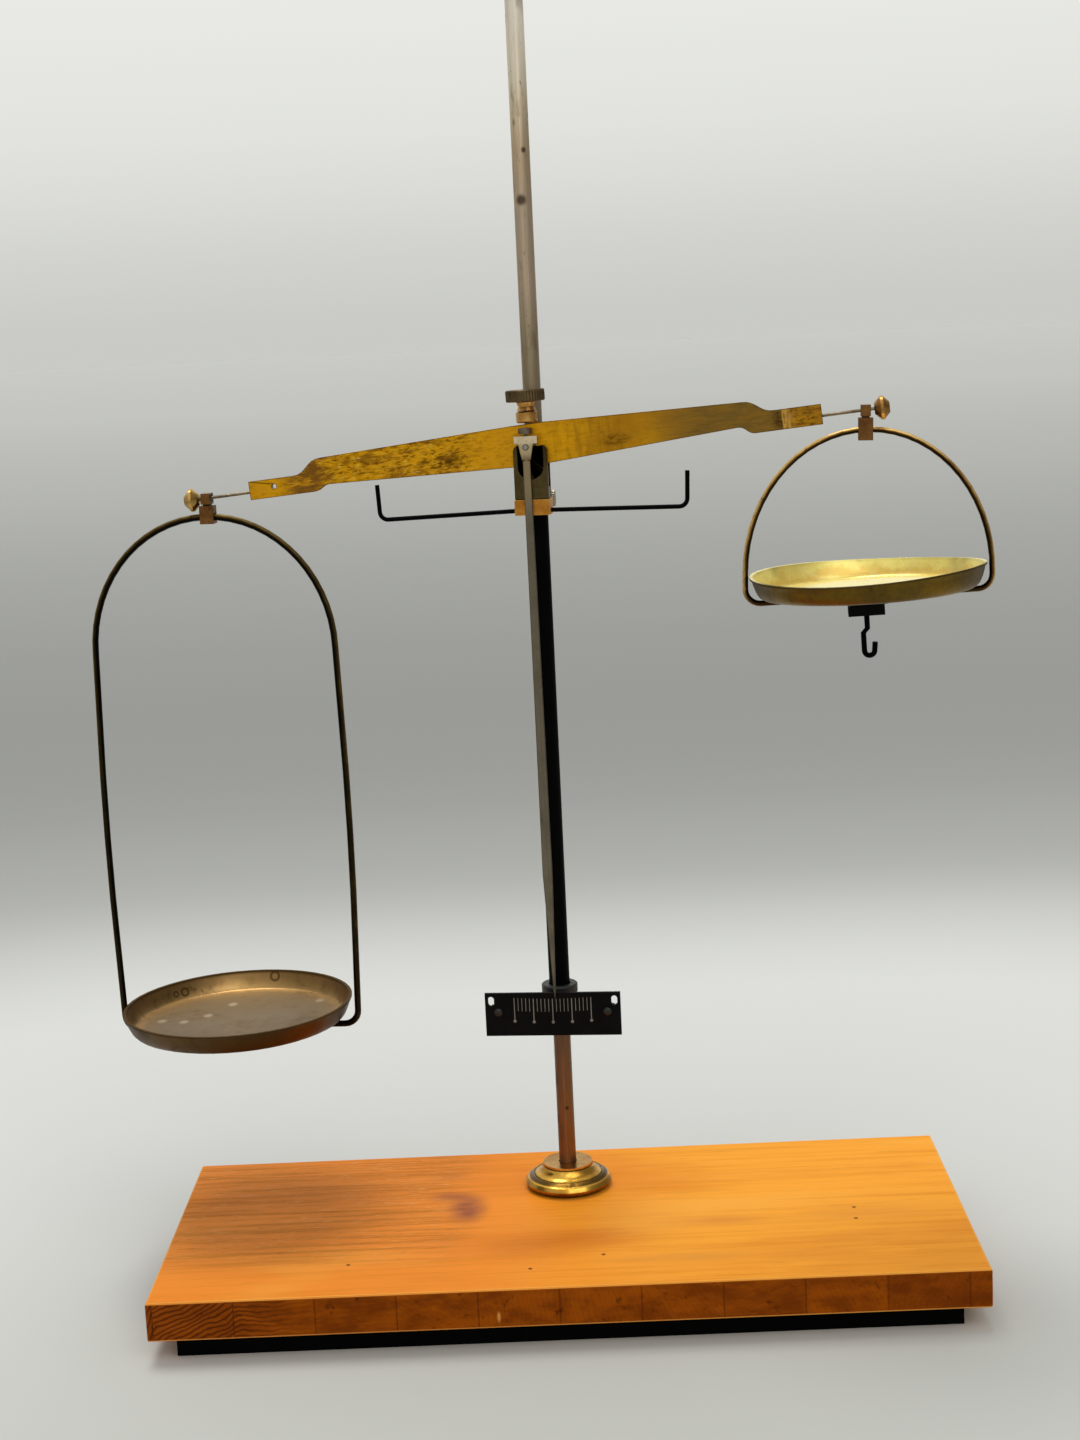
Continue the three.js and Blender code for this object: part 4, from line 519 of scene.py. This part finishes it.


def make_pan_inside(name, node, wall, floor, glint, spot, roughness, ring, lip, metallic=1.0,
                    marks=(), lint=(), stains=()):
    """A pan's inside: its floor dull, a soft ring of painted reflection where the wall rises, stains, and a
    rim that is darkened with painted shade by the lip's two amounts, at the back and at the front. Marks are
    small dark rings and lint is pale dust, both at places in the world."""
    f = Finish(name, metallic=metallic)
    world = f.place
    f.from_point(pan_place(node), (0, 0, 0))
    reach = f.distance((0, 0, 0), (1, 1, 0.3))
    stain = f.noise(38, 6, 0.68)
    rub = f.noise(1.0, 4, 0.6, f.stretched((60, 240, 60)))
    uneven = f.plus(reach, f.times(f.sum("SUBTRACT", stain, 0.5), 0.012))
    f.base = f.mix(f.ramp(uneven, *FLOOR_TO_WALL), linear(floor), linear(wall))
    # A ring of painted reflection where the wall rises
    f.tint(f.times(f.between(uneven, *ring), 0.7), glint)
    f.tint(f.ramp(stain, 0.5, 0.72, 0.0, 0.5), spot)
    f.tint(f.ramp(rub, 0.52, 0.72, 0.0, 0.35), floor)
    rim = f.times(f.ramp(f.edge(), 0.25, 0.9), f.ramp(f.axis("Y"), *BACK_TO_FRONT, *lip))
    f.tint(f.ramp(f.noise(150, 5, 0.7), 0.6, 0.7, 0.0, 0.6), spot)
    f.place = world
    for place, radius in marks:
        away = f.distance(place, (1, 1, 1))
        inner = f.ramp(away, radius * 0.45, radius * 0.75)
        f.tint(f.times(inner, f.ramp(away, radius * 1.25, radius, 0.0, 0.8)), spot)
    for place, radius, amount in stains:
        f.tint(f.times(f.near(place, radius, 0.2), f.ramp(stain, 0.35, 0.6, 0.2 * amount, amount)), "7a5a20")
    for place in lint:
        f.tint(f.times(f.near((*place, LINT_HEIGHT), LINT_REACH, 0.35, (0.9, 0.7, 0.4)), 0.75), "b09c80")
    # Painted shade along the rim
    f.tint(rim, "4a3418")
    f.set("Base Color", f.base)
    # The rim is dull, or it would mirror the backdrop where it is seen edge on
    f.set("Roughness", f.sum("MAXIMUM", f.ramp(stain, 0.25, 0.75, *roughness), f.times(rim, 0.9)))
    f.bump(f.plus(rub, stain), 0.25, 0.00005)
    return f.material


# The floor's tones by distance, as the backdrop of the photograph fades
FLOOR_REACH = 60.0
# Painted shade: the floor darkens from about 0.7 m out, is darkest near two metres and grows paler again far
# away
FLOOR_TONES = ((0.0, "cfcfcb"), (0.1, "cfd0cb"), (0.29, "d4d5d0"), (0.45, "d8d9d4"), (0.55, "d9dad5"),
               (0.64, "d3d4cf"), (0.71, "cbccc7"), (0.78, "c2c3be"), (0.85, "b7b8b3"), (0.93, "adaea9"),
               (1.01, "a7a8a3"), (1.15, "a1a29d"), (1.31, "9a9b97"), (1.55, "959692"), (2.0, "939490"),
               (2.64, "969793"), (4.0, "9fa09c"), (6.75, "adaea9"), (15.4, "bcbdb8"), (35.0, "c1c2bd"),
               (FLOOR_REACH, "c3c4bf"))
FLOOR_RINGS = (0.5, 1, 2, 4, 8, 16, 32, FLOOR_REACH)
FLOOR_SIDES = 48
CORNER_POWER = 4.0  # the lines of one tone are squares with round corners, so they look level from each side
FRONT_SHADE = (0, -0.5, 0)  # the floor is a little darker in front of the board
FRONT_SHADE_REACH = 0.85

# The sky's tones by height, from the horizon (0) to straight up (1)
SKY_TONES = ((0.0, "c9cac5"), (0.011, "cbccc7"), (0.037, "d2d3ce"), (0.062, "dbdcd7"), (0.087, "e2e3de"),
             (0.111, "e5e6e1"), (0.134, "e8e9e4"), (0.2, "eeefea"), (1.0, "eeefea"))

# How bright the mirrored surroundings are, from the far left (0) to the far right (1)
SIDE_LEVELS = ((0.0, 0.6), (0.12, 0.6), (0.3, 1.0), (0.66, 1.0), (0.84, 0.3), (1.0, 0.25))

LIGHT_LEVEL = 0.52  # of the even light from all round


def make_floor():
    """A plain pale sheet whose tone changes with the distance from the balance."""
    points = [(0, 0, 0)]
    for ring in FLOOR_RINGS:
        for side in range(FLOOR_SIDES):
            turn = 2 * math.pi * side / FLOOR_SIDES
            points.append((ring * math.cos(turn), ring * math.sin(turn), 0))
    faces = []
    for side in range(FLOOR_SIDES):
        beside = (side + 1) % FLOOR_SIDES
        faces.append((0, 1 + side, 1 + beside))
        for ring in range(len(FLOOR_RINGS) - 1):
            low, high = 1 + ring * FLOOR_SIDES, 1 + (ring + 1) * FLOOR_SIDES
            faces.append((low + side, high + side, high + beside, low + beside))
    mesh = bpy.data.meshes.new("floor")
    mesh.from_pydata(points, [], faces)
    floor = bpy.data.objects.new("floor", mesh)
    bpy.context.scene.collection.objects.link(floor)

    f = Finish("pale_floor", roughness=0.9)
    powers = [f.sum("POWER", f.sum("ABSOLUTE", f.axis(name)), CORNER_POWER) for name in "XY"]
    reach = f.sum("POWER", f.plus(*powers), 1 / CORNER_POWER)
    f.base = f.band(f.sum("LOGARITHM", f.plus(reach, 1.0), FLOOR_REACH + 1),
                    [(math.log(far + 1, FLOOR_REACH + 1), tone) for far, tone in FLOOR_TONES])
    shaded = f.mix(1.0, f.base, linear("e4e4e0"), "MULTIPLY")
    f.base = f.mix(f.near(FRONT_SHADE, FRONT_SHADE_REACH, 0.1), f.base, shaded)
    f.set("Base Color", f.base)
    f.set("Specular IOR Level", 0.1)
    mesh.materials.append(f.material)


def make_sun(name, strength, angle, x, y, z):
    """A soft lamp that shines from a direction."""
    lamp = bpy.data.objects.new(name, bpy.data.lights.new(name, "SUN"))
    lamp.data.energy = strength
    lamp.data.angle = math.radians(angle)
    bpy.context.scene.collection.objects.link(lamp)
    lamp.rotation_euler = Vector((x, y, z)).to_track_quat("Z", "Y").to_euler()


def make_world():
    """Even light from all round. The camera sees a pale sky instead, and so do mirrors and glass."""
    world = bpy.data.worlds.new("studio")
    bpy.context.scene.world = world
    world.use_nodes = True
    tree = world.node_tree
    tree.nodes.clear()
    new, link = tree.nodes.new, tree.links.new

    def calculate(operation, *values):
        node = new("ShaderNodeMath")
        node.operation = operation
        for socket, value in zip(node.inputs, values):
            if isinstance(value, bpy.types.NodeSocket):
                link(value, socket)
            else:
                socket.default_value = value
        return node.outputs[0]

    def mixed(amount, first, second):
        node = new("ShaderNodeMixShader")
        for socket, value in zip(node.inputs, (amount, first, second)):
            link(value, socket)
        return node.outputs[0]

    split = new("ShaderNodeSeparateXYZ")
    link(new("ShaderNodeTexCoord").outputs["Generated"], split.inputs[0])
    sky = new("ShaderNodeValToRGB")
    link(split.outputs["Z"], sky.inputs["Fac"])
    fill_band(sky.color_ramp, [(height, linear(tone)) for height, tone in SKY_TONES])
    seen = new("ShaderNodeBackground")
    link(sky.outputs["Color"], seen.inputs["Color"])
    lit = new("ShaderNodeBackground")
    lit.inputs["Color"].default_value = (LIGHT_LEVEL, LIGHT_LEVEL, LIGHT_LEVEL, 1)

    # What the metals mirror is darker to the right and, a little, to the left
    sides = new("ShaderNodeValToRGB")
    link(calculate("MULTIPLY_ADD", split.outputs["X"], 0.5, 0.5), sides.inputs["Fac"])
    fill_band(sides.color_ramp, [(place, (level, level, level, 1)) for place, level in SIDE_LEVELS])
    mirrored = new("ShaderNodeBackground")
    link(sky.outputs["Color"], mirrored.inputs["Color"])
    link(sides.outputs["Color"], mirrored.inputs["Strength"])

    rays = new("ShaderNodeLightPath").outputs
    shown = calculate("MAXIMUM", calculate("MAXIMUM", rays["Is Camera Ray"], rays["Is Glossy Ray"]),
                      rays["Is Transmission Ray"])
    pale = mixed(rays["Is Glossy Ray"], seen.outputs[0], mirrored.outputs[0])
    link(mixed(shown, lit.outputs[0], pale), new("ShaderNodeOutputWorld").inputs["Surface"])


SAME_FACE = 0.9999  # of two normals' product, above which their faces are one flat face
MERGE_DISTANCE = 1e-6
FLAT_ANGLE = math.radians(0.6)
BEVEL = 0.12  # in millimetres
NO_BEVEL = 0
SMOOTH_ANGLE = 35  # in degrees
WIRE_ANGLE = 60  # so that the bends of a wire look smooth


def mark_edges(work, width, least):
    """Insets each large flat face, so that an attribute named edge runs from 1 on its border to 0 inside."""
    layer = work.verts.layers.float.new("edge")
    for vert in work.verts:
        vert[layer] = 1.0
    seen = set()
    for face in sorted(work.faces, key=lambda f: -f.calc_area()):
        if face in seen or face.calc_area() < least * MM * MM:
            continue
        region = [face]
        todo = [face]
        while todo:
            for edge in todo.pop().edges:
                for other in edge.link_faces:
                    if other not in region and other.normal.dot(face.normal) > SAME_FACE:
                        region.append(other)
                        todo.append(other)
        seen.update(region)
        bmesh.ops.inset_region(work, faces=region, thickness=width * MM, use_boundary=True,
                               use_even_offset=True)
        for flat in region:
            for vert in flat.verts:
                vert[layer] = 0.0


def mark_border(work):
    """An attribute named edge that is 1 along the line where two finishes meet, on all of the first finish's
    faces there, and 0 elsewhere."""
    layer = work.verts.layers.float.new("edge")
    border = [vert for vert in work.verts if len({face.material_index for face in vert.link_faces}) > 1]
    for vert in work.verts:
        vert[layer] = 0.0
    for vert in border:
        for face in vert.link_faces:
            for near in face.verts if face.material_index == 0 else (vert,):
                near[layer] = 1.0


def dressed_copy(node, finishes, bevel=BEVEL, angle=SMOOTH_ANGLE, rim=None, part=None):
    """A copy of a node's mesh with its flats merged, softened edges and smooth round faces. A rim marks the
    borders of its large faces, and part tells which of the finishes a face wears."""
    mesh = nodes[node].data.copy()
    mesh.materials.clear()
    for finish in finishes:
        mesh.materials.append(finish)
    work = bmesh.new()
    work.from_mesh(mesh)
    bmesh.ops.remove_doubles(work, verts=work.verts, dist=MERGE_DISTANCE)
    bmesh.ops.dissolve_limit(work, angle_limit=FLAT_ANGLE, verts=work.verts, edges=work.edges)
    bmesh.ops.recalc_face_normals(work, faces=work.faces)
    if rim:
        mark_edges(work, *rim)
    for face in work.faces:
        face.material_index = part(face) if part else 0
    if part and not rim:
        mark_border(work)
    work.to_mesh(mesh)
    work.free()
    piece = bpy.data.objects.new(node + "_dressed", mesh)
    bpy.context.scene.collection.objects.link(piece)
    mesh.shade_smooth()
    mesh.set_sharp_from_angle(angle=math.radians(angle))
    if bevel:
        edge = piece.modifiers.new("edges", "BEVEL")
        edge.width = bevel * MM
        edge.segments = 2
        edge.limit_method = "ANGLE"
        edge.angle_limit = math.radians(angle)
        edge.harden_normals = True
    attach(piece, body_of[node])
    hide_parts(node)
    return piece


def upright_face(face):
    """1 for the board's sides, 0 for its top and underside."""
    return 1 if abs(face.normal.z) < 0.7 else 0


def pan_part(node):
    """0 for the faces that a pan's load sees, 1 for its outside and the lip under the rim."""
    centre = Vector(pan_place(node))

    def part(face):
        spoke = face.calc_center_median() - centre
        spoke.z = 0
        return 0 if face.normal.z > 0.3 or face.normal.dot(spoke) < -0.2 * spoke.length else 1
    return part


# The scale's lines in millimetres, with heights below the plate's upper edge
TICK_COUNT = 20
TICK_SPACE = 2.215
TICK_REACH = 316  # from the knife edge, so the row is a shallow arc
TICK_WIDTH = 0.34
TICK_PROUD = 0.08
TICK_TOP = 3.5
TICK_FOOT = 11.2
LONG_EVERY = 5
LONG_FOOT = 17.0
LONG_WIDTH = 0.544
DOT_MIDDLE = 17.4
DOT_RADIUS = 0.98
DOT_DEPTH_SHARE = 0.4
BLOCK_FACES = ((1, 3, 7, 5), (0, 1, 5, 4), (2, 6, 7, 3), (0, 2, 3, 1), (4, 5, 7, 6), (0, 4, 6, 2))


def make_ticks(finish):
    """The scale's lines, painted on the plate's front: every fifth one longer, with a dot at its foot."""
    plate = nodes["scale_plate"].data
    along = Vector((math.cos(HEAD_TURN), math.sin(HEAD_TURN), 0))
    front = Vector((math.sin(HEAD_TURN), -math.cos(HEAD_TURN), 0))
    spans = [vert.co.dot(along) for vert in plate.vertices]
    middle = (min(spans) + max(spans)) / 2
    face = max(vert.co.dot(front) for vert in plate.vertices)
    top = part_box("scale_plate")[1][2]
    work = bmesh.new()

    def place(x, proud, drop):
        return along * (middle + x * MM) + front * (face + proud * MM) + Vector((0, 0, top - drop * MM))

    def block(x, high, low, width):
        corners = [work.verts.new(place(x + side * width / 2, proud, drop))
                   for drop in (high, low) for side in (-1, 1) for proud in (0, TICK_PROUD)]
        for loop in BLOCK_FACES:
            work.faces.new([corners[i] for i in loop])

    for count in range(TICK_COUNT + 1):
        x = (count - TICK_COUNT / 2) * TICK_SPACE
        rise = x * x / (2 * TICK_REACH)
        if count % LONG_EVERY:
            block(x, TICK_TOP - rise, TICK_FOOT - rise, TICK_WIDTH)
        else:
            block(x, TICK_TOP - rise, LONG_FOOT - rise, LONG_WIDTH)
            foot = Matrix.Translation(place(x, 0, DOT_MIDDLE - rise))
            bmesh.ops.create_icosphere(work, subdivisions=2, radius=DOT_RADIUS * MM,
                                       matrix=foot @ Matrix.Diagonal((1, DOT_DEPTH_SHARE, 1, 1)))
    bmesh.ops.recalc_face_normals(work, faces=work.faces)
    mesh = bpy.data.meshes.new("scale_lines")
    work.to_mesh(mesh)
    work.free()
    piece = bpy.data.objects.new("scale_lines", mesh)
    bpy.context.scene.collection.objects.link(piece)
    mesh.materials.append(finish)
    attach(piece, body_of["scale_plate"])


make_camera()

wood = make_wood()
wood_edge = make_wood_edge()
# The rosette darkens towards its foot: painted shade where it meets the board
rosette_brass = metal("rosette_brass", "f0bc52", "b07c2c", "5a3810", (0.2, 0.38), 80, (0.3, 0.72),
                      falls=((0.040, 0.0352, "3c2006", 0.9), (0.048, 0.0495, "84582e", 0.85)),
                      lines=((0.0415, 0.0011), (0.0474, 0.0005)))
clamp_brass = metal("clamp_brass", "dea040", "b0722a", "5a3a1c", (0.3, 0.5), 90, edge="f0b860")
yoke_brown = metal("dark_olive_bronze", "5e5030", "3c301c", "241a10", (0.32, 0.5), 60, edge="2a2114")
stirrup_brown = metal("red_bronze", "8a6034", "5e3c20", "331e10", (0.34, 0.52), 120, edge="3a2412")
# Both bails carry a painted highlight outside their bows and painted shade inside them
bail_black = make_bail("burnt_bronze", "bail_left", "6a5426", "2c2313", "0e0b06", (0.3, 0.5))
bail_bronze = make_bail("bronze_painted_highlight", "bail_right", "e6bc70", "664a24", "1e1206", (0.26, 0.45))
zinc = metal("dull_zinc", "b3ab98", "8f8674", "5b5244", (0.35, 0.55), 120)
head_low, head_high = (corner[2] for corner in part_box("pointer_head"))
silver = metal("silver_beige", "f4e0bc", "cbb794", "6e5f48", (0.3, 0.48), 150, edge="6a5b42",
               falls=((head_high - 3 * MM, head_high - 6 * MM, "b4a078", 0.8),
                      (head_high - 9 * MM, head_low, "7c664e", 0.85)))
# The blade is lighter above 0.43 m: a painted highlight on its upper part
blade = metal("pointer_steel", "857b68", "6b6254", "4c4438", (0.3, 0.46), 60, (0.3, 0.7), (3, 3, 0.1),
              edge="3f3829", falls=((0.43, 0.45, "a8916a", 0.6),))
hard_steel = metal("ground_steel", "b4b1a8", "8d897f", "5d574c", (0.22, 0.4))
wire_steel = metal("browned_steel", "93846c", "5f523f", "3a3024", (0.3, 0.5), 80)
disc_brown = metal("dark_brown_metal", "6e5c40", "4a3c28", "221a10", (0.36, 0.55), 110)
left_nut = metal("bright_brass", "d8ae64", "98702c", "543612", (0.2, 0.38), 120, (0.35, 0.8))
right_nut = metal("copper_nut", "ca9850", "8a6030", "56341a", (0.24, 0.42), 120, (0.3, 0.7))
hub_brass = metal("hub_brass", "e2ae62", "a06a30", "4c3014", (0.22, 0.42), 130, (0.35, 0.75))
# A dark line along each pan's outer rim: painted shadow under the lip
left_outside = metal("pan_outside_left", "62492c", "4c3c22", "4a2412", (0.36, 0.55), 26, (0.3, 0.7),
                     edge="2a1c0e")
right_outside = metal("pan_outside_right", "7c5e18", "504424", "342a14", (0.32, 0.52), 22, (0.3, 0.75),
                      edge="32260c")
# Each pan's inside is paler than its outside: partly its own tarnish, partly painted light, the inside lit
# and the outside shaded
# The lip amounts set how much painted shade darkens each pan's rim at the back and at the front
left_inside = make_pan_inside("pan_inside_left", "pan_left", "927246", "7c6442", "b08c58", "503a20",
                              (0.32, 0.48), LEFT_RING, lip=(0.85, 0.85), marks=LEFT_MARKS, lint=LINT)
right_inside = make_pan_inside("pan_inside_right", "pan_right", "fff08c", "fff2b0", "dcae44", "dcb850",
                               (0.18, 0.32), RIGHT_RING, lip=(0.15, 0.95), metallic=0.35,
                               stains=RIGHT_STAINS)
black = make_black("black_enamel", "020202", "060606", 0.5, 0.03)
satin_black = make_black("worn_black", "050505", "0e0e0c", 0.5, 0.07)
sleeve_black = make_black("sleeve_black", "020202", "050505", 0.45, 0.03)
grey_black = make_black("dark_grey_enamel", "1c1c1a", "2c2c28", 0.42, 0.3)
polished_black = make_black("polished_black", "040405", "08080a", 0.18, 0.35)
line_paint = make_black("line_paint", "6e6b62", "8b877c", 0.6, 0.2, "4c4840")


def look(*finishes, **more):
    """How a piece is dressed: its finishes, and what of dressed_copy's values differs."""
    return finishes, more


# A rim is the width of a face's border and the least area of a face that gets one
LOOKS = {
    "base_board": look(wood, wood_edge, bevel=0.5, rim=(1.1, 400), part=upright_face),
    "plinth": look(black, bevel=0.5),
    "stand_rod": look(make_rod_steel()),
    "beam": look(make_beam_brass(), rim=(0.8, 200)),
    "clamp_block": look(clamp_brass, bevel=0.15, rim=(0.6, 30)),
    "rosette": look(rosette_brass),
    "yoke": look(yoke_brown, bevel=0.15, rim=(0.5, 40)),
    "thumbscrew": look(zinc, bevel=0.1),
    "pointer_head": look(silver, rim=(0.5, 12)),
    "pointer_screw": look(wire_steel),
    "pointer_blade": look(blade, bevel=0.08, rim=(0.8, 60)),
    "stirrup_left": look(stirrup_brown, rim=(0.5, 20)),
    "stirrup_right": look(stirrup_brown, rim=(0.5, 20)),
    "bail_left": look(bail_black, bevel=NO_BEVEL, angle=WIRE_ANGLE),
    "bail_right": look(bail_bronze, bevel=NO_BEVEL, angle=WIRE_ANGLE),
    "stop_wire": look(black, bevel=NO_BEVEL, angle=WIRE_ANGLE),
    "pan_hook": look(black, bevel=NO_BEVEL, angle=WIRE_ANGLE),
    "hook_block": look(satin_black),
    "sleeve_tube": look(sleeve_black),
    "scale_plate": look(satin_black),
    "scale_collar": look(grey_black),
    "scale_screw_left": look(grey_black),
    "scale_screw_right": look(grey_black),
    "end_wire_left": look(wire_steel, bevel=NO_BEVEL),
    "end_wire_right": look(wire_steel, bevel=NO_BEVEL),
    "centre_knife": look(hard_steel, bevel=0.08),
    "gravity_disc": look(disc_brown),
    "disc_hub": look(hub_brass),
    "lock_nut": look(hub_brass),
    "gravity_stud": look(wire_steel, bevel=0.1),
    "balance_nut_left": look(left_nut),
    "balance_nut_right": look(right_nut),
    "pan_left": look(left_inside, left_outside, part=pan_part("pan_left")),
    "pan_right": look(right_inside, right_outside, part=pan_part("pan_right")),
    "saddle_right": look(satin_black),
    "saddle_left": look(yoke_brown),
    "bearing_front": look(polished_black, bevel=0.1),
    "bearing_rear": look(polished_black, bevel=0.1),
}
BY_SLOT = {"zinc": zinc, "black": satin_black}  # for the hidden screws, washer, nut and bracket
for node in sorted(nodes):
    finishes, more = LOOKS.get(node) or look(BY_SLOT[slot_of[node]])
    dressed_copy(node, finishes, **more)
make_ticks(line_paint)

make_floor()
make_world()
make_sun("key", 1.3, 26, -0.12, 0.28, 1.0)
make_sun("fill", 0.65, 50, 0.4, -0.9, 1.0)

bpy.context.scene.view_settings.view_transform = "Standard"
